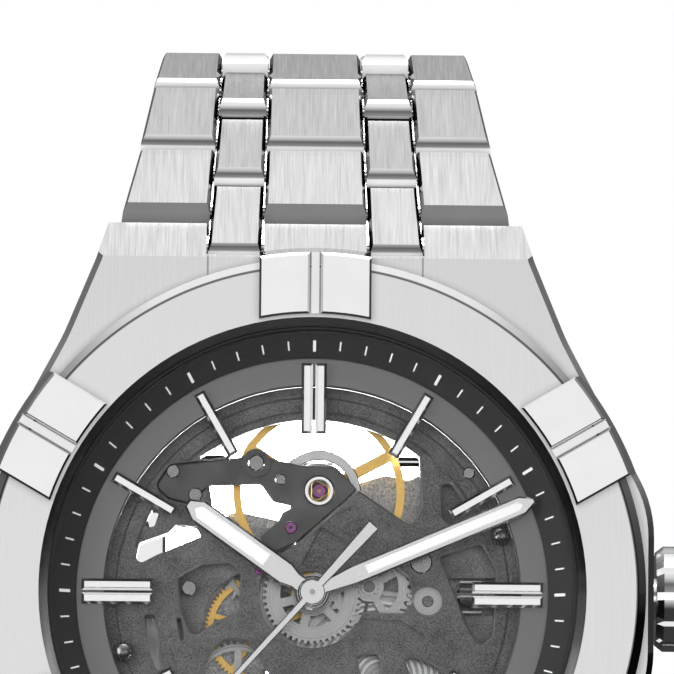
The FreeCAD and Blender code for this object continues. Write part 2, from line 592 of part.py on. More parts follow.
def make_main_plate():
    body = disc(d.movement_radius, d.plate_low, d.plate_top)
    third_window = disc(3.35, 0, 12, d.third_x, d.third_y).common(block(-7.5, -3.4, -4, 1.6, 0, 12))
    top_opening = plate(balance_opening(), 0, 12).common(disc(10.1, 0, 12))
    cuts = [disc(d.balance_clear, 0, 12, d.balance_x, d.balance_y), top_opening, disc(3.12, 0, 12),
            third_window, disc(3.0, 0, 12, d.winding_x, d.winding_y),
            disc(5.1, 0, 12, d.barrel_x, d.barrel_y).cut(disc(3.3, 0, 12)).cut(block(-1, 2.4, -20, 20, 0, 12)),
            block(8.0, 13, -1.1, 1.1, 0, 12)]
    cuts += [plate(corners, 0, 12) for corners in see_through()]
    body = body.cut(cuts)
    body = max(body.Solids, key=lambda solid: solid.Volume)
    pillars = [disc(0.9, d.plate_top, d.bridge_low, *clock_place(11.0, angle)) for angle in (20, 110, 200, 290)]
    minute_post = disc(0.3, d.plate_top, d.plate_top + 0.55, d.minute_x, d.minute_y)
    setting_post = disc(0.3, d.plate_top, d.plate_top + 0.7, d.setting_x, d.setting_y)
    return feature("main_plate", joined([body] + pillars + [minute_post, setting_post]))


def make_train_bridge():
    low, top = d.train_low, d.train_top
    lower = disc(d.movement_radius, low, top).common(block(-13, 13, -13, 1.8, 0, 12))
    lower = lower.cut([plate(corners, 0, 12) for corners in see_through()])
    arm = plate([(-1.1, 0, 0), (-0.9, 5.2, 0.4), (-0.7, 6.9, 0.6), (1.3, 6.9, 0.6), (2.6, 6.7, 0.5),
                 (4.2, 7.2, 0.5), (5.6, 6.9, 0.6), (7.6, 8.0, 0.8), (9.4, 5.0, 0.8), (11.4, 2.0, 0.4),
                 (11.5, 0, 0)], low, top)
    left = plate([(-5.4, 0, 0), (-5.6, 3.4, 0.4), (-4.8, 5.1, 0.8), (-3.4, 4.8, 0.8), (-1.0, 4.3, 0.4),
                  (-1.0, 0, 0)], low, top)
    windows = [ring(5.0, 7.0, 0, 12).common(block(-2.6, 2.6, -9, -2, 0, 12)),
               plate([(3.2, -9.6, 0.5), (6.4, -8.4, 0.5), (8.8, -5.6, 0.5), (8.0, -4.8, 0.5), (5.0, -7.6, 0.8)],
                     0, 12)]
    body = joined([lower, arm, left]).cut(windows)
    holes = [disc(0.2, 0, 12, d.balance_x, d.balance_y), disc(0.2, 0, 12, d.pallet_x, d.pallet_y),
             disc(0.2, 0, 12, d.escape_x, d.escape_y), disc(0.3, 0, 12, d.third_x, d.third_y),
             disc(0.34, 0, 12, d.winding_x, d.winding_y), disc(0.3, 0, 12),
             disc(0.66, 0, 12, d.barrel_x, d.barrel_y)]
    rotor_post = ring(0.32, 0.9, d.rotor_low, low, 0, 0)
    pillars = [disc(0.8, top, d.plate_low, *clock_place(11.1, angle)) for angle in (78, 180, 235)]
    return feature("train_bridge", joined([body.cut(holes), rotor_post] + pillars))


def slotted_screw(x, y, radius, low, high):
    """A cheese-head screw flush with its recess, with a driver slot."""
    slot = block(-radius - 1, radius + 1, -0.07, 0.07, high - 0.12, high + 1)
    slot.rotate(Vector(0, 0, 0), TOP, 35 + 40 * x)
    slot.translate(Vector(x, y, 0))
    head = chamfered(disc(radius, low, high, x, y), 0.05, flat_at(high))
    return head.cut(slot)


def make_screws_and_jewels():
    screws = [slotted_screw(x, y, radius, low, d.bridge_top - 0.03) for x, y, radius, low in screw_places()]
    screws += [slotted_screw(-3.29, 7.58, 0.45, d.plate_top + 0.42, d.bridge_top + 0.02),
               slotted_screw(-1.86, 6.63, 0.31, d.plate_top + 0.42, d.bridge_top + 0.0)]
    for x, y in post_places():
        stem = disc(0.28, d.plate_top, 6.6, x, y)
        dome = Part.makeSphere(0.7, Vector(x, y, 6.35)).common(disc(0.57, 6.2, 7.2, x, y))
        screws.append(joined([stem, dome]))
    feature("movement_screws", Part.makeCompound(screws))
    jewels = []
    for x, y, radius, low, high in jewel_places():
        jewel = chamfered(disc(radius, low, high, x, y), 0.05, flat_at(high))
        jewels.append(jewel.cut(disc(0.1, 0, 12, x, y)))
    jewels[3] = jewels[3].cut(disc(0.14, 0, 12, d.third_x, d.third_y))
    jewels[4] = jewels[4].cut(disc(0.14, 0, 12, d.winding_x, d.winding_y))
    feature("jewels", Part.makeCompound(jewels))


# --- movement: wheels ---------------------------------------------------------------------------------

CENTER_LEVEL = (3.25, 3.37)
THIRD_LEVEL = (2.85, 2.97)
FOURTH_LEVEL = (2.6, 2.72)
ESCAPE_LEVEL = (3.05, 3.17)
PALLET_LEVEL = (2.8, 3.0)
CANNON_LEVEL = (4.98, 5.18)
HOUR_LEVEL = (5.28, 5.42)
BARREL_LEVEL = (3.45, 4.2)
BARREL_TEETH_LEVEL = (3.75, 4.15)


def make_going_train():
    """Centre, third, fourth and escape wheels, each with its pinion and arbor, in mesh at rest."""
    center_module = module_between(0, 0, d.third_x, d.third_y, d.center_teeth, d.third_pinion_teeth)
    third_module = module_between(0, 0, d.third_x, d.third_y, d.third_teeth, d.fourth_pinion_teeth)
    fourth_module = module_between(0, 0, d.escape_x, d.escape_y, d.fourth_teeth, d.escape_pinion_teeth)
    barrel_module = module_between(0, 0, d.barrel_x, d.barrel_y, d.barrel_teeth, d.center_pinion_teeth)
    to_third = bearing(0, 0, d.third_x, d.third_y)
    to_escape = bearing(0, 0, d.escape_x, d.escape_y)
    to_barrel = bearing(0, 0, d.barrel_x, d.barrel_y)

    low, high = CENTER_LEVEL
    rim = center_module * d.center_teeth / 2
    wheel = toothed(int(d.center_teeth), center_module, low, high)
    wheel = wheel.cut(spoke_windows(1.1, rim - 0.4, 5, 0.35, low, high, 0, 0))
    center_pinion = toothed(int(d.center_pinion_teeth), barrel_module, BARREL_TEETH_LEVEL[0] - 0.1, 4.2)
    tube = disc(0.5, low, d.plate_top)
    hollow = disc(0.22, 0, 12)
    feature("center_wheel", joined([wheel, tube, center_pinion]).cut(hollow))

    low, high = THIRD_LEVEL
    rim = third_module * d.third_teeth / 2
    third = toothed(int(d.third_teeth), third_module, low, high, 0.0, d.third_x, d.third_y)
    third = third.cut(spoke_windows(0.8, rim - 0.4, 5, 0.3, low, high, d.third_x, d.third_y, 20))
    pinion_phase = mesh_phase(0.0, d.center_teeth, to_third, d.third_pinion_teeth)
    third_pinion = toothed(int(d.third_pinion_teeth), center_module, high, CENTER_LEVEL[1] + 0.05,
                           pinion_phase, d.third_x, d.third_y)
    third_arbor = disc(0.12, d.train_low + 0.1, d.plate_low - 0.05, d.third_x, d.third_y)
    feature("third_wheel", joined([third, third_pinion, third_arbor]))

    low, high = FOURTH_LEVEL
    rim = fourth_module * d.fourth_teeth / 2
    fourth = toothed(int(d.fourth_teeth), fourth_module, low, high)
    fourth = fourth.cut(spoke_windows(0.8, rim - 0.4, 4, 0.35, low, high, 0, 0, 10))
    pinion_phase = mesh_phase(0.0, d.third_teeth, to_third + 180, d.fourth_pinion_teeth)
    fourth_pinion = toothed(int(d.fourth_pinion_teeth), third_module, high,
                            THIRD_LEVEL[1] + 0.05, pinion_phase)
    fourth_arbor = disc(0.15, d.train_low + 0.05, d.seconds_level + d.hand_thickness)
    feature("fourth_wheel", joined([fourth, fourth_pinion, fourth_arbor]))

    low, high = ESCAPE_LEVEL
    escape = escape_wheel_shape(low, high)
    pinion_phase = mesh_phase(0.0, d.fourth_teeth, to_escape, d.escape_pinion_teeth)
    escape_pinion = toothed(int(d.escape_pinion_teeth), fourth_module, FOURTH_LEVEL[0] - 0.03,
                            FOURTH_LEVEL[1] + 0.03, pinion_phase, d.escape_x, d.escape_y)
    escape_arbor = disc(0.08, d.train_low + 0.1, d.plate_low - 0.05, d.escape_x, d.escape_y)
    feature("escape_wheel", joined([escape, escape_pinion, escape_arbor]))

    barrel_phase = mesh_phase(0.0, d.center_pinion_teeth, to_barrel, d.barrel_teeth)
    make_barrel(barrel_module, barrel_phase)


def escape_wheel_shape(low, high):
    """Twenty raked club teeth on a thin rim."""
    teeth = int(d.escape_teeth)
    outer = 2.2
    points = []
    for tooth in range(teeth):
        start = 2 * math.pi * tooth / teeth
        for radius, share in ((outer - 0.42, 0.0), (outer, 0.42), (outer - 0.04, 0.56), (outer - 0.4, 0.42)):
            angle = start + share * 2 * math.pi / teeth
            points.append(Vector(radius * math.cos(angle), radius * math.sin(angle), low))
    body = Part.Face(Part.makePolygon(points + points[:1])).extrude(Vector(0, 0, high - low))
    body.translate(Vector(d.escape_x, d.escape_y, 0))
    return body.cut(spoke_windows(0.55, outer - 0.75, 4, 0.25, low, high, d.escape_x, d.escape_y))


def make_barrel(module, phase):
    x, y = d.barrel_x, d.barrel_y
    low, high = BARREL_LEVEL
    gear = toothed(int(d.barrel_teeth), module, *BARREL_TEETH_LEVEL, phase, x, y)
    drum = disc(5.0, low, high, x, y)
    body = joined([gear, drum]).cut([disc(4.8, low + 0.12, 12, x, y), disc(0.66, 0, 12, x, y)])
    feature("barrel", body)
    turns = 11
    steps = 24 * turns
    inner, outer, leaf = 0.95, 4.65, 0.17
    outside = []
    inside = []
    for step in range(steps + 1):
        angle = 2 * math.pi * turns * step / steps
        radius = inner + (outer - inner) * step / steps
        reach = radius + leaf / 2
        outside.append(Vector(reach * math.cos(angle), reach * math.sin(angle), 0))
        inside.append(Vector((radius - leaf / 2) * math.cos(angle), (radius - leaf / 2) * math.sin(angle), 0))
    coil = outside + inside[::-1]
    spring = Part.Face(Part.makePolygon(coil + coil[:1])).extrude(Vector(0, 0, 0.45))
    spring.translate(Vector(x, y, low + 0.2))
    feature("mainspring", spring)
    arbor = disc(0.6, 2.45, high, x, y)
    ratchet = toothed(int(d.ratchet_teeth), 0.14, 2.6, 2.8, 0.0, x, y)
    slot = block(x - 0.9, x + 0.9, y - 0.08, y + 0.08, high - 0.15, 9)
    feature("ratchet_wheel", joined([ratchet, arbor]).cut(slot))


def make_motion_work():
    """Cannon pinion, minute wheel, hour wheel and setting wheel under the dial-side bridge."""
    to_minute = bearing(0, 0, d.minute_x, d.minute_y)
    cannon_module = module_between(0, 0, d.minute_x, d.minute_y, d.cannon_teeth, d.minute_teeth)
    hour_module = module_between(0, 0, d.minute_x, d.minute_y, d.hour_teeth, d.minute_pinion_teeth)
    low, high = CANNON_LEVEL
    cannon = toothed(int(d.cannon_teeth), cannon_module, low, high)
    cannon_tube = disc(0.4, low, d.minute_level + d.hand_thickness)
    cannon_foot = ring(0.2, 0.75, d.plate_top + 0.01, low)
    feature("cannon_pinion", joined([cannon, cannon_tube]).cut(disc(0.2, 0, 12)).fuse(cannon_foot))

    x, y = d.minute_x, d.minute_y
    phase = mesh_phase(0.0, d.cannon_teeth, to_minute, d.minute_teeth)
    wheel = toothed(int(d.minute_teeth), cannon_module, low, high, phase, x, y)
    wheel = wheel.cut(spoke_windows(0.85, 1.7, 4, 0.45, low, high, x, y, 30))
    hour_phase = 0.0
    pinion_phase = mesh_phase(hour_phase, d.hour_teeth, to_minute, d.minute_pinion_teeth)
    pinion = toothed(int(d.minute_pinion_teeth), hour_module, high, HOUR_LEVEL[1] + 0.05, pinion_phase, x, y)
    feature("minute_wheel", joined([wheel, pinion]).cut(disc(0.33, 0, 12, x, y)))

    low, high = HOUR_LEVEL
    wheel = toothed(int(d.hour_teeth), hour_module, low, high, hour_phase)
    tube = disc(0.62, low, d.hour_level + d.hand_thickness)
    cover = ring(0.6, 1.95, high, high + 0.1)
    dish = ring(1.9, 2.5, high, high + 0.13)
    crown_ring = ring(0.95, 1.12, high, high + 0.75)
    body = joined([wheel, tube, cover, dish, crown_ring])
    body = body.cut(spoke_windows(1.2, 1.85, 6, 0.5, low, high + 0.1, 0, 0, 15))
    feature("hour_wheel", body.cut(disc(0.42, 0, 12)))

    low, high = CANNON_LEVEL
    x, y = d.setting_x, d.setting_y
    angle = bearing(d.minute_x, d.minute_y, x, y)
    setting_phase = mesh_phase(phase, d.minute_teeth, angle, d.setting_teeth)
    wheel = toothed(int(d.setting_teeth), cannon_module, low, high + 0.2, setting_phase, x, y)
    feature("setting_wheel", wheel.cut(disc(0.33, 0, 12, x, y)))


def make_winding_wheel():
    x, y = d.winding_x, d.winding_y
    low, high = 3.3, 3.5
    wheel = toothed(int(d.winding_teeth), 0.125, low, high, 0.0, x, y)
    wheel = wheel.cut(spoke_windows(0.75, 2.25, 5, 0.42, low, high, x, y, 90))
    hub = disc(0.5, low - 0.1, high + 0.3, x, y)
    arbor = disc(0.12, d.train_low + 0.1, 4.2, x, y)
    feature("winding_wheel", joined([wheel, hub, arbor]))


def make_escapement():
    x, y = d.balance_x, d.balance_y
    low, high = d.balance_low, d.balance_top
    rim = ring(d.balance_radius - d.balance_rim, d.balance_radius, low, high, x, y)
    spokes = []
    for angle in (28, 148, 268):
        spoke = block(0.3, d.balance_radius - d.balance_rim + 0.05, -0.32, 0.32, low + 0.05, high - 0.08)
        spoke.rotate(Vector(0, 0, 0), TOP, angle)
        spoke.translate(Vector(x, y, 0))
        spokes.append(spoke)
    staff = disc(0.12, d.train_low + 0.1, d.plate_top + 0.5, x, y)
    collet = disc(0.5, low - 0.1, high + 0.05, x, y)
    roller = disc(0.55, 3.62, 3.78, x, y)
    feature("balance_wheel", joined([rim, staff, collet, roller] + spokes))

    turns, steps = 7, 7 * 24
    inner, outer, leaf = 0.62, 2.1, 0.05
    sides = ([], [])
    for step in range(steps + 1):
        angle = 2 * math.pi * turns * step / steps
        radius = inner + (outer - inner) * step / steps
        for side, offset in zip(sides, (leaf / 2, -leaf / 2)):
            side.append(Vector((radius + offset) * math.cos(angle), (radius + offset) * math.sin(angle), 0))
    coil = sides[0] + sides[1][::-1]
    spring = Part.Face(Part.makePolygon(coil + coil[:1])).extrude(Vector(0, 0, 0.16))
    spring.translate(Vector(x, y, high + 0.1))
    feature("hairspring", spring)

    x, y = d.pallet_x, d.pallet_y
    level_low, level_high = PALLET_LEVEL
    lever = plate([(-0.3, -0.35, 0.15), (0.3, -0.35, 0.15), (0.16, 1.9, 0.1), (-0.16, 1.9, 0.1)],
                  level_low, level_high)
    lever.rotate(Vector(0, 0, 0), TOP, bearing(x, y, d.balance_x, d.balance_y) - 90)
    lever.translate(Vector(x, y, 0))
    arms = plate([(-1.45, -0.62, 0.1), (-1.2, -0.15, 0.2), (1.2, -0.15, 0.2), (1.45, -0.62, 0.1),
                  (1.2, -0.7, 0.1), (0.6, -0.35, 0.2), (-0.6, -0.35, 0.2), (-1.2, -0.7, 0.1)],
                 level_low, level_high)
    arms.rotate(Vector(0, 0, 0), TOP, bearing(d.escape_x, d.escape_y, x, y) - 90)
    arms.translate(Vector(x, y, 0))
    arbor = disc(0.12, d.train_low + 0.1, d.balance_low - 0.2, x, y)
    feature("pallet_fork", joined([lever, arms, disc(0.3, level_low, level_high, x, y), arbor]))


def make_rotor():
    rim_inner = d.rotor_radius - d.rotor_rim
    half = block(-13, 13, -13, 0, 0, 12)
    web = disc(rim_inner + 0.1, d.rotor_low + 0.05, d.rotor_web_top).common(half)
    rim = ring(rim_inner, d.rotor_radius, d.rotor_low, d.rotor_top).common(half)
    hub = disc(1.6, d.rotor_low, d.rotor_web_top)
    window = ring(3.2, rim_inner - 0.9, 0, 12).common(plate([(-6.5, -7.2, 0), (-0.7, -0.9, 0), (-0.7, -12, 0)],
                                                           0, 12))
    other = window.mirror(Vector(0, 0, 0), ACROSS)
    body = joined([web, rim, hub]).cut([window, other, disc(0.95, 0, 12)])
    feature("rotor", body.fuse(ring(0.95, 1.3, d.rotor_low - 0.08, d.rotor_low)))


def make_crown():
    """Crown turned about Z, notched round its rim, then laid along +X; with its stem and pinion."""
    radius = d.crown_radius
    start, length = d.crown_start, d.crown_length
    turn = [(0, start), (1.2, start - 1.1), (1.2, start), (radius - 0.35, start), (radius, start + 0.45),
            (radius, start + length - 0.6), (radius - 0.45, start + length - 0.05), (0, start + length + 0.1)]
    points = [Vector(0, 0, start - 1.1)] + [Vector(r, 0, z) for r, z in turn[1:]]
    body = Part.Face(Part.makePolygon(points + points[:1])).revolve(Vector(0, 0, 0), TOP, 360)
    body = body.cut(disc(d.stem_radius, start - 3, start + 1.0))
    half = d.crown_notch / 2
    notch = block(radius - 0.32, radius + 1, -half, half, start - 0.1, start + length - 0.35)
    notches = around(notch, [360.0 * step / d.crown_notches for step in range(int(d.crown_notches))])
    lay = Placement(Vector(0, 0, d.crown_level), Rotation(Vector(0, 1, 0), 90))
    feature("crown", body.cut(notches), UPRIGHT.multiply(lay))
    stem = disc(d.stem_radius, d.stem_start, start + 1.0)
    feature("winding_stem", stem, UPRIGHT.multiply(lay))
    pinion = toothed(int(d.pinion_teeth), d.pinion_module, d.pinion_start, d.pinion_start + d.pinion_length)
    pinion = pinion.cut(disc(d.stem_radius + 0.02, 0, 30))
    feature("winding_pinion", pinion, UPRIGHT.multiply(lay))


# --- bracelet -----------------------------------------------------------------------------------------

STRAND_ANGLES = (46, 51, 64, 86, 110, 134, 154, 170)
COVER_ANGLE = 180


def pivot_places():
    """(y, z) of the hinge of each link of the 12 o'clock strand, and of its clasp cover."""
    places = [(d.pivot_y, d.pivot_z)]
    for angle in STRAND_ANGLES:
        y, z = places[-1]
        turn = math.radians(angle)
        places.append((y + d.pitch * math.cos(turn), z - d.pitch * math.sin(turn)))
    return places


def link_place(side, index):
    """A link's frame in watch coordinates: X across, Y along the strand, Z outwards; side -1 is 6 o'clock."""
    y, z = pivot_places()[index]
    angle = (STRAND_ANGLES + (COVER_ANGLE,))[index]
    place = Placement(Vector(0, y, z), Rotation(ACROSS, -angle))
    if side < 0:
        place = Placement(Vector(0, 0, 0), Rotation(TOP, 180)).multiply(place)
    return place


def taper(start, end, along):
    return end + (start - end) * math.exp(-along / d.taper_length)


def column_blank(u_low, u_high, first, fall):
    """Side shape of a column, as a bar along X: its near edge is rolled, or bevelled on the first link, its
    face falls towards the far edge, and its inner corners are relieved for the bend."""
    half, relief, edge = d.half_thickness, d.inner_relief, d.face_edge
    length, drop = (d.first_bevel, 0.8 * d.first_bevel) if first else (d.roll_length, d.roll_drop)
    points = [Vector(-15, u, v) for u, v in (
        (u_low + length, half), (u_high - edge, half - fall), (u_high, half - fall - edge), (u_high, -0.25),
        (u_high - relief, -half), (u_low + relief, -half), (u_low, -0.25), (u_low, half - drop))]
    near = Part.LineSegment(points[-1], points[0]).toShape()
    if not first:
        bulge = Vector(-15, u_low + 0.41 * length, half - 0.4 * drop)
        near = Part.Arc(points[-1], bulge, points[0]).toShape()
    outline = Part.Wire([near] + Part.makePolygon(points).Edges)
    return Part.Face(outline).extrude(Vector(30, 0, 0))


def column(x_low, x_high, span, holes, first=False, fall=0.0):
    """One tapered column; x_low and x_high are (near, far) pairs, holes are (u, radius) pairs."""
    u_low, u_high = span
    blank = column_blank(u_low, u_high, first, fall)
    for place, radius in holes:
        blank = blank.cut(Part.makeCylinder(radius, 40, Vector(-20, place, 0), ACROSS))
    low, bevel = -d.half_thickness, d.side_bevel
    sections = []
    for end, place, top in ((0, u_low - 0.01, -low), (1, u_high + 0.01, -low - fall)):
        left, right = x_low[end], x_high[end]
        corners = [(left, low), (right, low), (right, top - bevel), (right - 0.5 * bevel, top),
                   (left + 0.5 * bevel, top), (left, top - bevel)]
        points = [Vector(x, place, v) for x, v in corners]
        sections.append(Part.makePolygon(points + points[:1]))
    return Part.makeLoft(sections, True, True).common(blank)


def spread(along, u_values, start, end):
    return tuple(taper(start, end, along + u) for u in u_values)


def link_solids(along, reach=None):
    """Five columns and two pins of a link whose hinge is at a distance along the strand; with a reach, the
    columns run on to it, as in a clasp cover."""
    quarter, gap, side_gap = d.pitch / 4, d.row_gap / 2, d.column_gap / 2
    first, fall = along == 0, (0.0 if reach else d.face_fall)
    wide_span = (quarter + gap, (reach or 5 * quarter) - gap)
    narrow_span = (-quarter + gap, (reach or 3 * quarter) - gap)
    free, tight = d.pin_radius + d.pin_clearance, d.pin_radius
    cross = 2 * quarter
    wide_holes = [(cross, tight)] + ([] if reach else [(4 * quarter, free)])
    narrow_holes = [(0.0, tight), (cross, tight)]
    outer = spread(along, wide_span, d.band_start, d.band_end)
    narrow_beside = spread(along, wide_span, d.narrow_start, d.narrow_end)
    centre = spread(along, wide_span, d.centre_start, d.centre_end)
    narrow_outer = spread(along, narrow_span, d.narrow_start, d.narrow_end)
    narrow_inner = spread(along, narrow_span, d.centre_start, d.centre_end)
    solids = [column([-x + side_gap for x in centre], [x - side_gap for x in centre], wide_span, wide_holes,
                     first, fall)]
    right_outer = column([x + side_gap for x in narrow_beside], outer, wide_span, wide_holes, first, fall)
    right_narrow = column([x + side_gap for x in narrow_inner], [x - side_gap for x in narrow_outer],
                          narrow_span, narrow_holes, False, fall)
    for solid in (right_outer, right_narrow):
        solids += [solid, solid.mirror(Vector(0, 0, 0), ACROSS)]
    hinge_reach = taper(d.band_start, d.band_end, along) - 0.9
    cross_reach = taper(d.band_start, d.band_end, along + cross) - 0.25
    solids.append(Part.makeCylinder(tight, 2 * hinge_reach, Vector(-hinge_reach, 0, 0), ACROSS))
    solids.append(Part.makeCylinder(tight, 2 * cross_reach, Vector(-cross_reach, cross, 0), ACROSS))
    return solids


def make_bracelet():
    for side, clock in ((1, 12), (-1, 6)):
        for index in range(len(STRAND_ANGLES)):
            solids = link_solids(index * d.pitch)
            place = UPRIGHT.multiply(link_place(side, index))
            feature("link_%d_%d" % (clock, index + 1), Part.makeCompound(solids), place)


# --- clasp --------------------------------------------------------------------------------------------

def rod(radius, x_low, x_high, y, z):
    """A cylinder lying along the hinge lines."""
    return Part.makeCylinder(radius, x_high - x_low, Vector(x_low, y, z), ACROSS)


def make_clasp():
    """Two covers that continue the strands, a blade hinged under each, the centre plate, two buttons."""
    cover_y, cover_z = pivot_places()[-1]
    inner_face = cover_z + d.half_thickness
    blade_low = inner_face + d.clasp_gap
    blade_high = blade_low + d.blade_thickness
    plate_low = blade_high + d.clasp_gap
    plate_high = plate_low + d.blade_thickness
    blade_axis = (blade_low + blade_high) / 2
    plate_axis = (blade_high + plate_low) / 2
    half, knuckle_half, pin_radius = d.blade_half_width, d.knuckle_half, d.clasp_pin - 0.04

    for side, clock in ((1, 12), (-1, 6)):
        along = len(STRAND_ANGLES) * d.pitch
        place = link_place(side, len(STRAND_ANGLES))
        cover = Part.makeCompound(link_solids(along, cover_y))
        cover.Placement = place
        solids = list(cover.Solids)
        ears = []
        for edge in (-1, 1):
            near = edge * (half + 0.1)
            low, high = sorted((near, near + edge * d.ear_width))
            ear = side_prism([(0.9, inner_face), (3.1, inner_face), (2.4, blade_high - 0.05),
                              (1.4, blade_high - 0.05)], low, high)
            ears.append(ear)
        if side > 0:
            solids = [cut_button_pockets(solid) for solid in solids]
        else:
            ears = [turned_half(ear) for ear in ears]
        pin_end = half + 0.9
        pin = rod(pin_radius, -pin_end, pin_end, side * d.blade_pivot, blade_axis)
        ears = [ear.cut(rod(pin_radius, -20, 20, side * d.blade_pivot, blade_axis)) for ear in ears]
        feature("cover_%d" % clock, Part.makeCompound(solids + ears + [pin]))

        near, far = d.blade_pivot - d.blade_nose, d.plate_pivot
        end = far - d.knuckle_radius - 0.1
        blade = side_prism([(near, blade_axis - d.nose_flat), (near, blade_axis + d.nose_flat),
                            (near + d.nose_slope, blade_high), (end, blade_high),
                            (end, blade_low), (near + d.nose_slope, blade_low)], -half, half)
        window = block(-half + 1.3, half - 1.3, near + 1.6, far - 2.2, blade_low - 1, blade_high + 1)
        knuckle = rod(d.knuckle_radius, -knuckle_half, knuckle_half, far, plate_axis)
        tongue = block(-knuckle_half, knuckle_half, end - 0.1, far, blade_low, blade_high)
        blade = joined([blade.cut(window), knuckle, tongue])
        blade = blade.cut(rod(d.clasp_pin, -20, 20, d.blade_pivot, blade_axis))
        blade = blade.cut(rod(d.clasp_pin + 0.02, -20, 20, far, plate_axis))
        feature("blade_%d" % clock, blade if side > 0 else turned_half(blade))

    end = d.plate_pivot
    body = block(-half, half, -end + 1.0, end - 1.0, plate_low, plate_high)
    body = body.cut([block(-half + 1.2, half - 1.2, 2, end - 3, plate_low - 1, plate_high + 1),
                     block(-half + 1.2, half - 1.2, -end + 3, -2, plate_low - 1, plate_high + 1)])
    pieces = [body]
    for side in (-1, 1):
        for edge in (-1, 1):
            low, high = sorted((edge * (knuckle_half + 0.1), edge * half))
            knuckle = rod(d.knuckle_radius, low, high, side * end, plate_axis)
            y_low, y_high = sorted((side * (end - 1.1), side * end))
            pieces += [knuckle, block(low, high, y_low, y_high, plate_low, plate_high)]
    body = joined(pieces)
    for side in (-1, 1):
        body = body.cut(rod(pin_radius, -20, 20, side * end, plate_axis))
    stub = half - knuckle_half - 0.1
    pins = [rod(pin_radius, -half, half, end, plate_axis),
            rod(pin_radius, -half, stub - half, -end, plate_axis),
            rod(pin_radius, half - stub, half, -end, plate_axis)]
    feature("clasp_plate", Part.makeCompound([body] + pins))
    make_buttons()


def turned_half(shape):
    copy = shape.copy()
    copy.rotate(Vector(0, 0, 0), TOP, 180)
    return copy


def button_box(grow):
    """The right-hand button's bounds; grow widens it into its pocket."""
    outer = taper(d.band_start, d.band_end, len(STRAND_ANGLES) * d.pitch + 8.0)
    cover_z = pivot_places()[-1][1]
    low_y, high_y = 2.6, 2.6 + d.button_length
    half = d.button_height / 2
    return [outer - 1.3 - (0.65 if grow else 0.0), outer + d.button_proud + grow, low_y - grow, high_y + grow,
            cover_z - half - grow, cover_z + half + grow]


def cut_button_pockets(solid):
    pocket = block(*button_box(0.06))
    return solid.cut([pocket, pocket.mirror(Vector(0, 0, 0), ACROSS)])


def make_buttons():
    body = block(*button_box(0.0))
    outer = body.BoundBox.XMax
    body = chamfered(body, 0.2, lambda edge: edge.BoundBox.XMin > outer - 1e-4)
    feature("button_3", body)
    feature("button_9", body.mirror(Vector(0, 0, 0), ACROSS))


# --- build, check and write ---------------------------------------------------------------------------

make_mid_case()
make_bezel()
make_glass_and_dial()
make_seals()
make_markers()
make_hands()
make_dial_bridge()
make_balance_bridge()
make_main_plate()
make_train_bridge()
make_screws_and_jewels()
make_going_train()
make_motion_work()
make_winding_wheel()
make_escapement()
make_rotor()
make_crown()
make_bracelet()
make_clasp()
doc.recompute()

for item in doc.Objects:
    if "Invalid" in item.State or "Error" in item.State:
        raise RuntimeError("%s did not recompute: %s" % (item.Label, item.State))
for item in PARTS:
    shape = item.Shape
    if shape.isNull() or not shape.isValid() or not shape.Solids:
        raise RuntimeError("%s has no valid solid" % item.Label)
    shape.exportStep("parts/%s.step" % item.Label)
print("%d sub-parts, %d solids" % (len(PARTS), sum(len(item.Shape.Solids) for item in PARTS)))
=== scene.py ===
"""Looks of the skeleton wristwatch: materials for every part, and the fine trim that sits on them.

Watch coordinates in the comments: X to 3 o'clock, Y to 12 o'clock, Z out of the dial, from the case back.
In the row frame that is (x, -z, y). Lengths are metres unless a name ends in _MM; only the trim is laid
out in watch millimetres. Grey levels, shares and roughness go from 0 to 1.
"""
import json
import math

import bmesh
import bpy
from mathutils import Matrix, Vector


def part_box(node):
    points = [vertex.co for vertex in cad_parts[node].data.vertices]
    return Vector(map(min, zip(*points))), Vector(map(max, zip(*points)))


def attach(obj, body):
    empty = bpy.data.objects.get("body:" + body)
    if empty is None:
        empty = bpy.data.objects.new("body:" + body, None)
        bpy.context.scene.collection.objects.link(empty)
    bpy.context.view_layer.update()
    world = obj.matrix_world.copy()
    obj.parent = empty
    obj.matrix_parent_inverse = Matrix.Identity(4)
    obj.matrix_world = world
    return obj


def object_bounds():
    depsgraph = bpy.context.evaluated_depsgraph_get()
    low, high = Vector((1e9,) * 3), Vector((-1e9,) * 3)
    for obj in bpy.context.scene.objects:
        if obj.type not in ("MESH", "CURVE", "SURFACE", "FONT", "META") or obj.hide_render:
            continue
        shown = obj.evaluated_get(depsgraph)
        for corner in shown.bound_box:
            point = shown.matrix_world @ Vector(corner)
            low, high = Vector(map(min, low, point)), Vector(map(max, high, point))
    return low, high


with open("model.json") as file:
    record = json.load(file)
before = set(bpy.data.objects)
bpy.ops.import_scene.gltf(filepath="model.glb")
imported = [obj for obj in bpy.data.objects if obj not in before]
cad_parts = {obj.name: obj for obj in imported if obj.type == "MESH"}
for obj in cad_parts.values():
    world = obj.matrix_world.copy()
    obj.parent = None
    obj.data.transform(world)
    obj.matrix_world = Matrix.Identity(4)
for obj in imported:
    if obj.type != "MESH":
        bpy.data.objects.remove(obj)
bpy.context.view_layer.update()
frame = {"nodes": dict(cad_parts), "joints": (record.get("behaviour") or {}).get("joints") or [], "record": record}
MM = 0.001


def row(x, y, z):
    """A point given in watch coordinates, in millimetres, as a row-frame vector in metres."""
    return Vector((x * MM, -z * MM, y * MM))


def centre_of(node):
    """Middle of a CAD node's box."""
    low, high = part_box(node)
    return (low + high) / 2


def top_of(node):
    """Watch Z, in millimetres, of a CAD node's highest point over the case back."""
    return -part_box(node)[0].y / MM


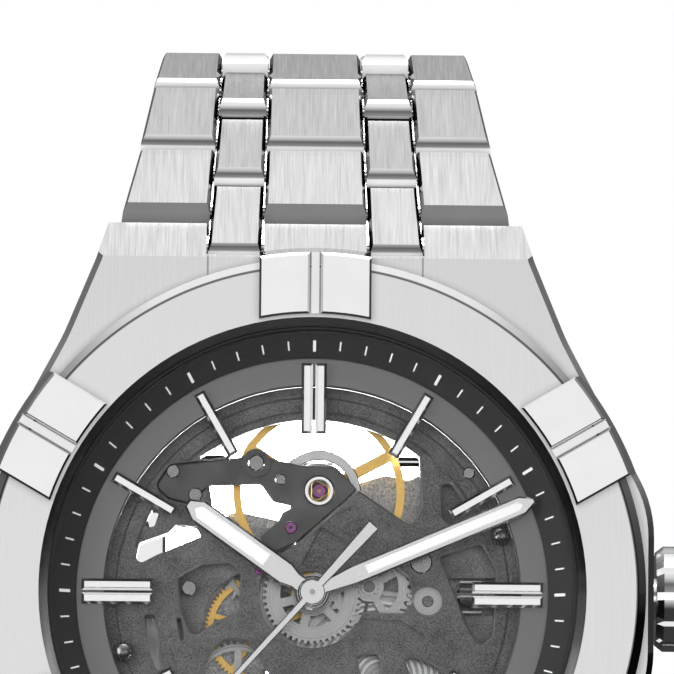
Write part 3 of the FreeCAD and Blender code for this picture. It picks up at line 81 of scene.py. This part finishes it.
def dial_place(joint_name):
    """Watch X and Y, in millimetres, of a joint whose axis stands square to the dial."""
    place = next(joint["pos_m"] for joint in frame["joints"] if joint["name"] == joint_name)
    return place[0] / MM, place[2] / MM


# --- node-material helpers ----------------------------------------------------------------------------

class Shader:
    """A small builder of node trees round one Principled shader."""

    def __init__(self, name, **settings):
        self.material = bpy.data.materials.new(name)
        self.material.use_nodes = True
        self.tree = self.material.node_tree
        self.shader = self.tree.nodes["Principled BSDF"]
        for socket, value in settings.items():
            self.shader.inputs[socket.replace("_", " ")].default_value = value
        self.place = self.add("ShaderNodeTexCoord").outputs["Object"]

    def add(self, kind, **properties):
        node = self.tree.nodes.new(kind)
        for name, value in properties.items():
            setattr(node, name, value)
        return node

    def feed(self, socket, value):
        """Links a socket to the value, or sets it where the value is a number or a colour."""
        if isinstance(value, bpy.types.NodeSocket):
            self.tree.links.new(value, socket)
        else:
            socket.default_value = value

    def math(self, operation, first, second=0.0, clamp=False):
        node = self.add("ShaderNodeMath", operation=operation, use_clamp=clamp)
        self.feed(node.inputs[0], first)
        self.feed(node.inputs[1], second)
        return node.outputs[0]

    def scaled(self, value, gain, offset):
        """The value times the gain, plus the offset."""
        return self.math("ADD", self.math("MULTIPLY", value, gain), offset)

    def weighted(self, first, first_share, second, second_share):
        """The sum of two values, each times its share."""
        return self.math("ADD", self.math("MULTIPLY", first, first_share),
                         self.math("MULTIPLY", second, second_share))

    def mix(self, factor, first, second):
        """A colour between two, by a factor from 0 to 1."""
        node = self.add("ShaderNodeMix", data_type="RGBA")
        self.feed(node.inputs[0], factor)
        self.feed(node.inputs[6], first)
        self.feed(node.inputs[7], second)
        return node.outputs[2]

    def blend(self, factor, first, second):
        """A number between two, by a factor from 0 to 1."""
        node = self.add("ShaderNodeMix", data_type="FLOAT")
        self.feed(node.inputs[0], factor)
        self.feed(node.inputs[2], first)
        self.feed(node.inputs[3], second)
        return node.outputs[0]

    def step(self, value, low, high):
        """Rises from 0 to 1 as the value goes from low to high."""
        node = self.add("ShaderNodeMapRange")
        node.inputs["From Min"].default_value = low
        node.inputs["From Max"].default_value = high
        self.feed(node.inputs["Value"], value)
        return node.outputs["Result"]

    def noise(self, scale, detail=3.0, rough=0.55, vector=None):
        node = self.add("ShaderNodeTexNoise")
        node.inputs["Scale"].default_value = scale
        node.inputs["Detail"].default_value = detail
        node.inputs["Roughness"].default_value = rough
        self.feed(node.inputs["Vector"], vector or self.place)
        return node.outputs["Fac"]

    def stretched(self, scale):
        """The place scaled along each axis, so that noise on it makes streaks."""
        node = self.add("ShaderNodeMapping")
        node.inputs["Scale"].default_value = scale
        self.feed(node.inputs["Vector"], self.place)
        return node.outputs["Vector"]

    def radius_from(self, point):
        """Distance from the line through a point along the dial's axis."""
        node = self.add("ShaderNodeVectorMath", operation="DISTANCE")
        flat = self.add("ShaderNodeVectorMath", operation="MULTIPLY")
        self.feed(flat.inputs[0], self.place)
        flat.inputs[1].default_value = (1, 0, 1)
        self.feed(node.inputs[0], flat.outputs[0])
        node.inputs[1].default_value = (point[0], 0, point[2])
        return node.outputs["Value"]

    def rings(self, centre, scale):
        """Noise that changes only with the distance from a centre, as turning leaves on metal."""
        node = self.add("ShaderNodeTexNoise", noise_dimensions="1D")
        node.inputs["Scale"].default_value = 1.0
        node.inputs["Detail"].default_value = 2.0
        self.feed(node.inputs["W"], self.math("MULTIPLY", self.radius_from(centre), scale))
        return node.outputs["Fac"]

    def depth_below(self):
        """The place along the row frame's Y, which grows from the dial towards the case back."""
        node = self.add("ShaderNodeSeparateXYZ")
        self.feed(node.inputs[0], self.place)
        return node.outputs[1]

    def normal_part(self, direction):
        """How far the surface faces a direction of the row frame, from -1 to 1."""
        node = self.add("ShaderNodeVectorMath", operation="DOT_PRODUCT")
        self.feed(node.inputs[0], self.add("ShaderNodeTexCoord").outputs["Normal"])
        self.feed(node.inputs[1], direction)
        return node.outputs["Value"]

    def painted_occlusion_shade(self, reach, depth):
        """Painted shade: a factor that falls from 1 towards 1 - depth where other surfaces stand within reach of a
        point, which darkens the colour in corners, gaps and recesses.
        """
        node = self.add("ShaderNodeAmbientOcclusion", samples=6)
        node.inputs["Distance"].default_value = reach
        return self.scaled(node.outputs["AO"], depth, 1.0 - depth)

    def colour(self, value, shade=None):
        """Sets the base colour, darkened by a factor of painted shade where one is given."""
        if shade is not None:
            node = self.add("ShaderNodeVectorMath", operation="SCALE")
            self.feed(node.inputs[0], value)
            self.feed(node.inputs["Scale"], shade)
            value = node.outputs[0]
        self.feed(self.shader.inputs["Base Color"], value)

    def roughness(self, value):
        self.feed(self.shader.inputs["Roughness"], value)

    def bump(self, height, strength, distance):
        node = self.add("ShaderNodeBump")
        node.inputs["Strength"].default_value = strength
        node.inputs["Distance"].default_value = distance
        self.feed(node.inputs["Height"], height)
        self.feed(self.shader.inputs["Normal"], node.outputs["Normal"])


def grey(level):
    return (level, level, level, 1.0)


# --- directions and places that materials depend on ---------------------------------------------------

OUT_OF_DIAL = (0, -1, 0)
TO_CASE_BACK = (0, 1, 0)
TO_THREE = (1, 0, 0)
DIAL_CENTRE = (0, 0, 0)
UPRIGHT_GRAIN = (11000, 260, 260)  # noise scale along X, Y and Z: fine across the streaks, long along them
LEVEL_GRAIN = (260, 260, 11000)

CLAW_HEIGHT_MM = 0.4  # of the bezel's claws over its flat face
CLAW_POLISH_MM = 0.32  # how far down from the claws' tops their polish reaches
FACE_EDGE_MINIMUM_MM = 17  # tells the outer edge of the bezel's flat face from its inner edge
SAME_LEVEL_MM = 0.02  # how near a point's level is to the flat face's to count as on it
LINE_FADE_MM = (0.05, 0.1)  # distances from the edge of the face between which its dark line fades out
MASK_EDGE = 0.00002  # metres over which the claws' polish turns into the grain


def facing_either(direction, sharp=0.96):
    """A mask, as a function of the Shader: 1 on faces square to a direction, whichever way they look."""
    def mask(look):
        return look.step(look.math("ABSOLUTE", look.normal_part(direction)), sharp - 0.04, sharp)
    return mask


def bezel_edge():
    """Radius, in metres, at which the bezel's flat face meets its outer bevel."""
    flat_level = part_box("bezel")[0].y + CLAW_HEIGHT_MM * MM
    places = [vertex.co for vertex in frame["nodes"]["bezel"].data.vertices]
    radii = [math.hypot(place.x, place.z) for place in places
             if abs(place.y - flat_level) < SAME_LEVEL_MM * MM]
    outer = sorted(radius for radius in radii if radius > FACE_EDGE_MINIMUM_MM * MM)
    return outer[len(outer) // 2]


def claw_floor():
    """The row-frame Y at which the claws' polish ends."""
    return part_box("bezel")[0].y + CLAW_POLISH_MM * MM


def bezel_painted_shade_line(look):
    """Painted shade: falls from 1 to 0.2 in a fine dark line round the edge of the bezel's flat face, below the
    claws.
    """
    away = look.math("ABSOLUTE", look.math("SUBTRACT", look.radius_from(DIAL_CENTRE), bezel_edge()))
    clear = look.step(away, LINE_FADE_MM[0] * MM, LINE_FADE_MM[1] * MM)
    claw = look.step(look.depth_below(), claw_floor() + MASK_EDGE, claw_floor())
    return look.scaled(look.math("MAXIMUM", clear, claw), 0.8, 0.2)


def bezel_mask(look):
    """Brushed on the flat ring; the claws, which stand above it, and the bevels are polished."""
    flat = look.step(look.normal_part(OUT_OF_DIAL), 0.93, 0.97)
    below = look.step(look.depth_below(), claw_floor(), claw_floor() + MASK_EDGE)
    return look.math("MULTIPLY", flat, below)


def case_mask(look):
    """Brushed on the case middle's upper face, lug facets and back; its flanks are polished."""
    upper = look.step(look.normal_part(OUT_OF_DIAL), 0.9, 0.94)
    sideways = look.math("ABSOLUTE", look.normal_part(TO_THREE))
    facet = look.math("MULTIPLY", look.step(look.normal_part(OUT_OF_DIAL), 0.5, 0.56),
                      look.step(sideways, 0.15, 0.1))
    back = look.step(look.normal_part(TO_CASE_BACK), 0.5, 0.6)
    return look.math("MAXIMUM", look.math("MAXIMUM", upper, facet), back, clamp=True)


def link_direction(name):
    """The outward direction of a link's face: away from the middle of the loop, square to its hinge line."""
    side, index = [int(part) for part in name.split("_")[1:3]]
    hinges = [joint for joint in frame["joints"] if joint["name"].startswith("hinge_%d_" % side)]
    places = [Vector(joint["pos_m"]) for joint in sorted(hinges, key=lambda joint: joint["name"])]
    along = (places[index] - places[index - 1]).normalized()
    if side == 12:
        return Vector((0, -along.z, along.y))
    return Vector((0, along.z, -along.y))


# --- materials ----------------------------------------------------------------------------------------

def brushed_steel(name, brushed, grain=UPRIGHT_GRAIN, light=0.76, dark=0.62, mirror=0.76, reach=0.0005,
                  depth=0.65, painted_edge_shade=None):
    """Steel with straight grain where the mask is 1 and a polish elsewhere.

    brushed is a function of the Shader that returns the mask; the last argument, where given, is one that returns
    a darkening factor, a painted dark line of shade. light and dark are the grain's grey levels, and mirror is the
    polish's.
    reach and depth set the painted shade that darkens the colour where other surfaces stand near.
    """
    look = Shader(name, Metallic=1.0)
    mask = brushed(look)
    fine = look.noise(1.0, 2.0, 0.6, look.stretched(grain))
    broad = look.noise(1.0, 2.0, 0.5, look.stretched((grain[0] / 6, grain[1] / 3, grain[2] / 3)))
    streak = look.weighted(fine, 0.8, broad, 0.2)
    spread = look.step(streak, 0.32, 0.68)
    wear = look.noise(420, 4.0, 0.6)
    satin = look.mix(spread, grey(dark), grey(light))
    gloss = look.mix(wear, grey(mirror * 0.93), grey(mirror * 1.07))
    # painted shade: the colour darkens where other surfaces stand near, and along the dark edge line where one is
    # given
    shade = look.painted_occlusion_shade(reach, depth)
    if painted_edge_shade:
        shade = look.math("MULTIPLY", shade, painted_edge_shade(look))
    look.colour(look.mix(mask, gloss, satin), shade)
    look.roughness(look.blend(mask, look.scaled(wear, 0.05, 0.065), look.scaled(spread, 0.12, 0.26)))
    look.bump(look.math("MULTIPLY", streak, mask), 0.35, 6e-6)
    return look.material


def link_steel(node):
    """Bracelet link: grain along the strand on the outward and inward faces, polished edges; its grain greys are
    set darker than the case's, a painted shade over the whole link, and its painted shade in the gaps reaches
    further and goes deeper.
    """
    return brushed_steel("steel_" + node, facing_either(link_direction(node), 0.985), light=0.66, dark=0.54,
                         reach=0.0009, depth=0.8)


def sandblasted(name, base, edge, rough=0.5, speckle=0.7):
    """Dark plated metal: fine blasted grain on the faces; bevels that face out of the dial are a polished finish
    with a painted highlight, sunk walls that face sideways get painted shade, and painted shade darkens where
    other surfaces stand near.
    """
    look = Shader(name, Metallic=0.75)
    flat = look.step(look.math("ABSOLUTE", look.normal_part(TO_CASE_BACK)), 0.9, 0.97)
    bevel = look.step(look.normal_part(OUT_OF_DIAL), 0.45, 0.6)
    grain = look.noise(11000, 2.0, 0.6)
    cloud = look.noise(700, 3.0, 0.5)
    tone = look.weighted(look.math("SUBTRACT", grain, 0.5), speckle,
                         look.math("SUBTRACT", cloud, 0.5), 0.3)
    face = look.mix(look.step(tone, -0.14, 0.14), grey(base * 0.45), grey(base * 1.6))
    # painted highlight and painted shade: off the flat faces the colour goes from a dark grey on walls facing
    # sideways to the bright edge grey on bevels facing out of the dial
    side = look.mix(bevel, grey(base * 0.45), grey(edge))
    # painted shade where other surfaces stand near
    look.colour(look.mix(flat, side, face), look.painted_occlusion_shade(0.0008, 0.5))
    look.roughness(look.blend(flat, 0.3, look.scaled(tone, 0.3, rough)))
    look.bump(look.math("MULTIPLY", grain, flat), 0.5, 1.2e-5)
    return look.material


def polished(name, level=0.85, rough=0.08):
    """Mirror steel with faint hairlines and smears."""
    look = Shader(name, Metallic=1.0)
    smear = look.noise(900, 3.0, 0.6)
    hair = look.noise(1.0, 1.0, 0.5, look.stretched((9000, 900, 900)))
    look.colour(look.mix(smear, grey(level * 0.93), grey(level)))
    look.roughness(look.scaled(smear, 0.06, rough - 0.03))
    look.bump(hair, 0.06, 3e-6)
    return look.material


def gilt(name):
    """Satin gold plating."""
    look = Shader(name, Metallic=1.0)
    grain = look.noise(9000, 2.0, 0.5)
    cloud = look.noise(500, 3.0, 0.6)
    tone = look.step(look.weighted(grain, 0.6, cloud, 0.4), 0.3, 0.7)
    look.colour(look.mix(tone, (0.72, 0.42, 0.1, 1), (0.95, 0.66, 0.24, 1)))
    look.roughness(look.scaled(cloud, 0.12, 0.26))
    look.bump(grain, 0.3, 6e-6)
    return look.material


def turned_grain(name, centre, level=0.62, rough=0.3):
    """Metal grained in circles round a centre, as a wheel is finished on a lathe."""
    look = Shader(name, Metallic=1.0)
    rings = look.rings(centre, 14000.0)
    spread = look.step(rings, 0.3, 0.7)
    cloud = look.noise(600, 3.0, 0.5)
    look.colour(look.mix(look.weighted(spread, 0.5, cloud, 0.5), grey(level * 0.75), grey(level * 1.15)))
    look.roughness(look.scaled(spread, 0.12, rough - 0.06))
    look.bump(rings, 0.25, 5e-6)
    return look.material


def ruby():
    """Magenta bearing jewel with a clear gloss."""
    look = Shader("ruby", Metallic=0.0, Coat_Weight=0.6, Coat_Roughness=0.03)
    cloud = look.noise(2500, 3.0, 0.6)
    look.colour(look.mix(cloud, (0.07, 0.006, 0.06, 1), (0.4, 0.06, 0.36, 1)))
    look.roughness(look.scaled(cloud, 0.08, 0.06))
    look.bump(cloud, 0.1, 1e-5)
    return look.material


def sapphire():
    """Coated crystal: nearly clear, with a little gloss."""
    look = Shader("sapphire", Metallic=0.0, Alpha=0.05, IOR=1.77)
    haze = look.noise(300, 2.0, 0.5)
    look.colour(look.mix(haze, grey(0.02), grey(0.04)))
    look.roughness(look.scaled(haze, 0.02, 0.01))
    return look.material


def rubber():
    """Black seal rubber, matt and slightly grained."""
    look = Shader("rubber", Metallic=0.0)
    grain = look.noise(4000, 3.0, 0.6)
    look.colour(look.mix(grain, grey(0.01), grey(0.03)))
    look.roughness(look.scaled(grain, 0.15, 0.55))
    look.bump(grain, 0.4, 2e-5)
    return look.material


def dial_satin():
    """Smoked dial ring: satin, turned in fine circles, with slow changes of tone."""
    look = Shader("dial_satin", Metallic=0.85)
    rings = look.rings(DIAL_CENTRE, 30000.0)
    cloud = look.noise(140, 3.0, 0.5)
    look.colour(look.mix(look.weighted(rings, 0.3, cloud, 0.6), grey(0.17), grey(0.34)))
    look.roughness(look.scaled(cloud, 0.1, 0.36))
    look.bump(rings, 0.12, 4e-6)
    return look.material


def flange_black():
    """Matt black paint of the sloping ring round the dial."""
    look = Shader("flange_black", Metallic=0.3)
    grain = look.noise(9000, 2.0, 0.6)
    cloud = look.noise(200, 2.0, 0.5)
    look.colour(look.mix(look.weighted(grain, 0.5, cloud, 0.5), grey(0.025), grey(0.065)))
    look.roughness(look.scaled(grain, 0.15, 0.42))
    look.bump(grain, 0.25, 8e-6)
    return look.material


def lume():
    """White luminous paint, with a faint painted glow: it emits a little light of its own, which makes it brighter
    than the lamps alone would.
    """
    look = Shader("lume", Metallic=0.0, Emission_Strength=0.3)
    grain = look.noise(14000, 2.0, 0.6)
    look.colour(look.mix(grain, (0.86, 0.87, 0.86, 1), (0.97, 0.97, 0.96, 1)))
    look.roughness(look.scaled(grain, 0.2, 0.45))
    look.bump(grain, 0.3, 8e-6)
    return look.material


def rotor_stripes():
    """Rotor metal with broad grained stripes."""
    look = Shader("rotor_stripes", Metallic=1.0)
    wave = look.add("ShaderNodeTexWave", wave_type="BANDS", bands_direction="DIAGONAL")
    wave.inputs["Scale"].default_value = 210.0
    wave.inputs["Distortion"].default_value = 0.4
    look.feed(wave.inputs["Vector"], look.stretched((1, 0, 1)))
    grain = look.noise(1.0, 2.0, 0.5, look.stretched((5000, 900, 900)))
    look.colour(look.mix(wave.outputs["Fac"], grey(0.35), grey(0.6)))
    look.roughness(look.scaled(grain, 0.18, 0.22))
    look.bump(look.scaled(grain, 0.2, wave.outputs["Fac"]), 0.2, 2e-5)
    return look.material


def slot_materials():
    """The material of each of the record's slots that all its nodes share."""
    return {
        "sapphire": sapphire(),
        "flange_black": flange_black(),
        "dial_grey": dial_satin(),
        "polished_steel": polished("polished_steel"),
        "ruby": ruby(),
        "seal_rubber": rubber(),
        "gold_brass": gilt("gilt"),
        "screw_steel": turned_grain("screw_steel", DIAL_CENTRE, 0.3, 0.25),
        "spring_steel": polished("spring_steel", 0.5, 0.2),
        "rotor_steel": rotor_stripes(),
        "plate_anthracite": sandblasted("plate_anthracite", 0.27, 0.5),
        "bridge_anthracite": sandblasted("bridge_anthracite", 0.17, 0.5),
        "bridge_dark": sandblasted("bridge_dark", 0.12, 0.45, rough=0.42, speckle=0.3),
        "bridge_grey": sandblasted("bridge_grey", 0.5, 0.7, rough=0.36),
        "clasp_steel": brushed_steel("clasp_steel", facing_either(TO_CASE_BACK), LEVEL_GRAIN),
        "bezel_steel": brushed_steel("bezel_steel", bezel_mask, light=0.8, dark=0.68, mirror=0.68,
                                     painted_edge_shade=bezel_painted_shade_line),
        "case_steel": brushed_steel("case_steel", case_mask),
    }


def paint_frame():
    """Gives every CAD node its material; wheels, links, covers and hands have one of their own."""
    shared = slot_materials()
    hand_steel = polished("hand_steel", 0.66, 0.14)
    for entry in frame["record"]["subparts"]:
        node, slot = entry["node"], entry["material_slot"]
        if slot == "wheel_steel":
            material = turned_grain("turned_" + node, centre_of(node), 0.45)
        elif node.startswith("link_"):
            material = link_steel(node)
        elif node.startswith("cover_"):
            material = brushed_steel("steel_" + node, facing_either(TO_CASE_BACK, 0.985))
        elif node.endswith("_hand"):
            material = hand_steel
        else:
            material = shared[slot]
        finishes = frame["nodes"][node].data.materials
        finishes.clear()
        finishes.append(material)


# --- trim made here: shapes in watch millimetres ------------------------------------------------------

def new_mesh(name, build, material, body):
    """A mesh piece filled in by build(bm); its coordinates are watch millimetres until it is done."""
    bm = bmesh.new()
    build(bm)
    for vertex in bm.verts:
        vertex.co = row(*vertex.co)
    bmesh.ops.recalc_face_normals(bm, faces=bm.faces)
    mesh = bpy.data.meshes.new(name)
    bm.to_mesh(mesh)
    bm.free()
    piece = bpy.data.objects.new(name, mesh)
    bpy.context.scene.collection.objects.link(piece)
    mesh.materials.append(material)
    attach(piece, body)


def add_walls(bm, first, second):
    """Faces between two rings with the same number of points."""
    count = len(first)
    for index in range(count):
        after = (index + 1) % count
        bm.faces.new((first[index], first[after], second[after], second[index]))


def add_prism(bm, outline, top_outline):
    """A closed solid between two rings of points."""
    lower = [bm.verts.new(point) for point in outline]
    upper = [bm.verts.new(point) for point in top_outline]
    add_walls(bm, lower, upper)
    bm.faces.new(lower[::-1])
    bm.faces.new(upper)


def add_sweep(bm, rings, closed):
    """A solid whose section goes from ring to ring, and back to the first where it is closed."""
    for first, second in zip(rings, rings[1:]):
        add_walls(bm, first, second)
    if closed:
        add_walls(bm, rings[-1], rings[0])
    else:
        bm.faces.new(rings[0])
        bm.faces.new(rings[-1][::-1])


def turned(point, degrees_clockwise):
    """A point turned about the dial's axis."""
    angle = math.radians(-degrees_clockwise)
    x, y, z = point
    return (x * math.cos(angle) - y * math.sin(angle), x * math.sin(angle) + y * math.cos(angle), z)


def flange_slope():
    """(radius, level) at the foot and at the head of the flange's slope."""
    vertices = frame["nodes"]["flange_ring"].data.vertices
    rings = [(math.hypot(vertex.co.x, vertex.co.z) / MM, -vertex.co.y / MM) for vertex in vertices]
    inner = min(radius for radius, level in rings)
    top = max(level for radius, level in rings)
    foot = max(level for radius, level in rings if radius < inner + 0.01)
    head = min(radius for radius, level in rings if level > top - 0.01)
    return (inner, foot), (head, top)


def minute_track(bm):
    """Sixty bars on the sloping flange; every fifth is wider and longer."""
    foot, head = flange_slope()
    sink, rise, lean = 0.02, 0.03, 0.025  # into the slope, out of it, and inwards, square to the slope
    for minute in range(60):
        major = minute % 5 == 0
        half = 0.085 if major else 0.045
        near, far = [[start + share * (end - start) for start, end in zip(foot, head)]
                     for share in (0.28 if major else 0.36, 0.72)]
        lower, upper = [], []
        for x, (radius, level) in ((-half, near), (half, near), (half, far), (-half, far)):
            lower.append(turned((x, radius, level - sink), 6 * minute))
            upper.append(turned((x, radius - lean, level + rise), 6 * minute))
        add_prism(bm, lower, upper)


def lume_bar(start, finish, half, point, hand, clock):
    """The luminous inlay of a hand: a bar with a pointed end and a bevelled upper edge.

    start and finish are radii, half is half its width, point is the length of its tip, and clock is the
    hand's angle at rest, in degrees clockwise from 12 o'clock.
    """
    bevel, height, sink = 0.06, 0.07, 0.005
    low = top_of(hand) - sink

    def build(bm):
        outline = [(-half, start), (half, start), (half, finish - point), (0.2 * half, finish),
                   (-0.2 * half, finish), (-half, finish - point)]
        lower, upper = [], []
        for x, y in outline:
            narrower = x - math.copysign(min(bevel, abs(x)), x)
            shorter = y + (bevel if y == start else -bevel)
            lower.append(turned((x, y, low), clock))
            upper.append(turned((narrower, shorter, low + height), clock))
        add_prism(bm, lower, upper)
    return build


def wavy_wire(centre, radius, thickness, level, wobble, lobes):
    """A round wire bent to a circle with a wave in its radius."""
    def build(bm):
        steps, sides = 72, 8
        rings = []
        for step in range(steps):
            angle = math.radians(360.0 * step / steps)
            reach = radius * (1 + wobble * math.cos(lobes * angle))
            ring = []
            for side in range(sides):
                turn = 2 * math.pi * side / sides
                out = reach + thickness * math.cos(turn)
                ring.append(bm.verts.new((centre[0] + out * math.cos(angle),
                                          centre[1] + out * math.sin(angle),
                                          level + thickness * math.sin(turn))))
            rings.append(ring)
        add_sweep(bm, rings, closed=True)
    return build


def flat_ring(centre, inner, outer, low, high, bevel, start=0.0, sweep=360.0):
    """A washer, or part of one, with bevelled upper edges."""
    def build(bm):
        steps = max(24, int(sweep / 4))
        closed = sweep >= 360.0
        profile = [(inner, low), (outer, low), (outer, high - bevel), (outer - bevel, high),
                   (inner + bevel, high), (inner, high - bevel)]
        rings = []
        for step in range(steps if closed else steps + 1):
            angle = math.radians(start + sweep * step / steps)
            rings.append([bm.verts.new((centre[0] + radius * math.cos(angle),
                                        centre[1] + radius * math.sin(angle), level))
                          for radius, level in profile])
        add_sweep(bm, rings, closed)
    return build


HOUR_HAND_ANGLE = 305.3
MINUTE_HAND_ANGLE = 66.9


def make_trim():
    """Minute bars, inlays of the two hands, and the setting, spring and regulator over the balance."""
    white = lume()
    chrome = polished("trim_chrome", 0.85, 0.1)
    gold = gilt("trim_gold")
    balance = dial_place("balance_swing")
    bridge = top_of("balance_bridge")
    pale = turned_grain("regulator_grain", row(*balance, 0), 0.6)
    hour_bar = lume_bar(3.2, 8.3, 0.4, 0.35, "hour_hand", HOUR_HAND_ANGLE)
    minute_bar = lume_bar(3.4, 13.2, 0.27, 0.3, "minute_hand", MINUTE_HAND_ANGLE)
    setting = flat_ring(balance, 0.6, 0.87, bridge - 0.3, bridge + 0.02, 0.06)
    spring = wavy_wire(balance, 0.5, 0.055, bridge - 0.08, wobble=0.18, lobes=3)
    regulator = flat_ring(balance, 1.85, 2.42, bridge - 1.12, bridge - 0.94, 0.05, start=-25, sweep=215)
    new_mesh("minute_track", minute_track, white, "case")
    new_mesh("hour_lume", hour_bar, white, "hour_drive")
    new_mesh("minute_lume", minute_bar, white, "minute_drive")
    new_mesh("shock_setting", setting, chrome, "case")
    new_mesh("shock_spring", spring, gold, "case")
    new_mesh("regulator_ring", regulator, pale, "case")


# --- floor, light and camera --------------------------------------------------------------------------

FLOOR_HALF_WIDTH = 3.0
FLOOR_DROP = 0.09  # below the lowest point of the bracelet


def plain_floor():
    """A plain pale sheet under the watch."""
    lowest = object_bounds()[0][2]
    mesh = bpy.data.meshes.new("floor")
    bm = bmesh.new()
    bmesh.ops.create_grid(bm, x_segments=1, y_segments=1, size=FLOOR_HALF_WIDTH)
    bm.to_mesh(mesh)
    bm.free()
    floor = bpy.data.objects.new("floor", mesh)
    floor.location = (0, 0, lowest - FLOOR_DROP)
    bpy.context.scene.collection.objects.link(floor)
    look = Shader("floor_paper", Metallic=0.0)
    look.colour(look.mix(look.noise(40, 3.0, 0.5), grey(0.86), grey(0.9)))
    look.roughness(0.9)
    mesh.materials.append(look.material)
    floor.visible_glossy = False


def area_light(name, place, target, size, power, seen=True):
    data = bpy.data.lights.new(name, "AREA")
    data.shape = "RECTANGLE"
    data.size, data.size_y = size
    data.energy = power
    lamp = bpy.data.objects.new(name, data)
    lamp.location = place
    lamp.rotation_euler = (Vector(target) - Vector(place)).to_track_quat("-Z", "Y").to_euler()
    lamp.visible_camera = seen
    bpy.context.scene.collection.objects.link(lamp)


# the surroundings as light, as levels of a common strength: round the watch from in front (0 degrees) over
# the top (90) to behind (180), and from the middle plane (0) to the far left and right (1)
WORLD_STRENGTH = 1.24
ROUND_LIGHT = ((-180, 0.04), (-24, 0.04), (-15, 0.25), (-7, 1.0), (10, 1.0), (15, 0.3), (30, 0.12),
               (38, 0.4), (50, 0.8), (85, 1.0), (97, 1.0), (107, 0.82), (118, 0.64), (141, 0.46),
               (160, 0.15), (180, 0.04))
SIDE_LIGHT = ((0.0, 1.0), (0.45, 0.95), (0.75, 0.3), (1.0, 0.05))


def studio_world():
    """White to the camera; as light, banks overhead and in front, with dark between for contrast."""
    world = bpy.data.worlds.new("studio")
    bpy.context.scene.world = world
    world.use_nodes = True
    tree = world.node_tree
    tree.nodes.clear()
    add, link = tree.nodes.new, tree.links.new

    def combine(operation, first, second=None):
        node = add("ShaderNodeMath")
        node.operation = operation
        for socket, value in zip(node.inputs, (first, second)):
            if isinstance(value, bpy.types.NodeSocket):
                link(value, socket)
            elif value is not None:
                socket.default_value = value
        return node.outputs[0]

    def ramp(value, stops):
        """A grey level read from (value, level) stops."""
        low, high = stops[0][0], stops[-1][0]
        share = combine("DIVIDE", combine("SUBTRACT", value, low), high - low)
        node = add("ShaderNodeValToRGB")
        elements = node.color_ramp.elements
        elements[0].color = grey(stops[0][1])
        elements[1].color = grey(stops[-1][1])
        for place, level in stops[1:-1]:
            elements.new((place - low) / (high - low)).color = grey(level)
        link(share, node.inputs["Fac"])
        return node.outputs["Color"]

    split = add("ShaderNodeSeparateXYZ")
    link(add("ShaderNodeTexCoord").outputs["Generated"], split.inputs[0])
    ahead = combine("MULTIPLY", split.outputs[1], -1.0)
    turn = combine("MULTIPLY", combine("ARCTAN2", split.outputs[2], ahead), 180 / math.pi)
    around = ramp(turn, ROUND_LIGHT)
    side = ramp(combine("ABSOLUTE", split.outputs[0]), SIDE_LIGHT)
    lit, seen = add("ShaderNodeBackground"), add("ShaderNodeBackground")
    link(combine("MULTIPLY", around, side), lit.inputs["Color"])
    lit.inputs["Strength"].default_value = WORLD_STRENGTH
    seen.inputs["Color"].default_value = (1, 1, 1, 1)
    mix = add("ShaderNodeMixShader")
    link(add("ShaderNodeLightPath").outputs["Is Camera Ray"], mix.inputs[0])
    link(lit.outputs[0], mix.inputs[1])
    link(seen.outputs[0], mix.inputs[2])
    link(mix.outputs[0], add("ShaderNodeOutputWorld").inputs["Surface"])


def studio():
    """Two soft lamps, above and to the left, and one behind the case that lights the loop's inside."""
    studio_world()
    dial = row(0, 6, 6)
    area_light("key", (0.02, -0.1, 0.42), dial, (0.3, 0.12), 0.6)
    area_light("fill", (-0.3, -0.3, 0.05), dial, (0.14, 0.4), 0.8)
    area_light("loop_glow", row(0, 2, -4), row(0, 2, -34), (0.026, 0.034), 0.25, seen=False)
    bpy.context.scene.view_settings.view_transform = "Standard"


VIEW_WIDTH_MM = 38.96  # of what the picture takes in at the aim
CAMERA_DISTANCE = 0.55
AIM_MM = (1.30, 14.86, 7.0)
BELOW_DEGREES = 5.0  # how far the camera stands below the dial's axis
LEFT_DEGREES = 0.5
ROLL_DEGREES = 0.5


def main_camera():
    """Square to the dial but a little below it, with a long lens; the aim is above the dial's centre."""
    data = bpy.data.cameras.new("camera")
    data.sensor_width = 36.0
    data.lens = data.sensor_width * CAMERA_DISTANCE / (VIEW_WIDTH_MM * MM)
    data.clip_start = 0.01
    data.clip_end = 20.0
    camera = bpy.data.objects.new("camera", data)
    below, left, roll = [math.radians(angle) for angle in (BELOW_DEGREES, LEFT_DEGREES, ROLL_DEGREES)]
    aim = row(*AIM_MM)
    away = Vector((-math.sin(left) * math.cos(below), -math.cos(left) * math.cos(below), -math.sin(below)))
    camera.location = aim + away * CAMERA_DISTANCE
    turn = (aim - camera.location).to_track_quat("-Z", "Y").to_matrix().to_4x4()
    camera.matrix_world = Matrix.Translation(camera.location) @ turn @ Matrix.Rotation(roll, 4, "Z")
    bpy.context.scene.collection.objects.link(camera)
    bpy.context.scene.camera = camera


main_camera()
paint_frame()
make_trim()
plain_floor()
studio()
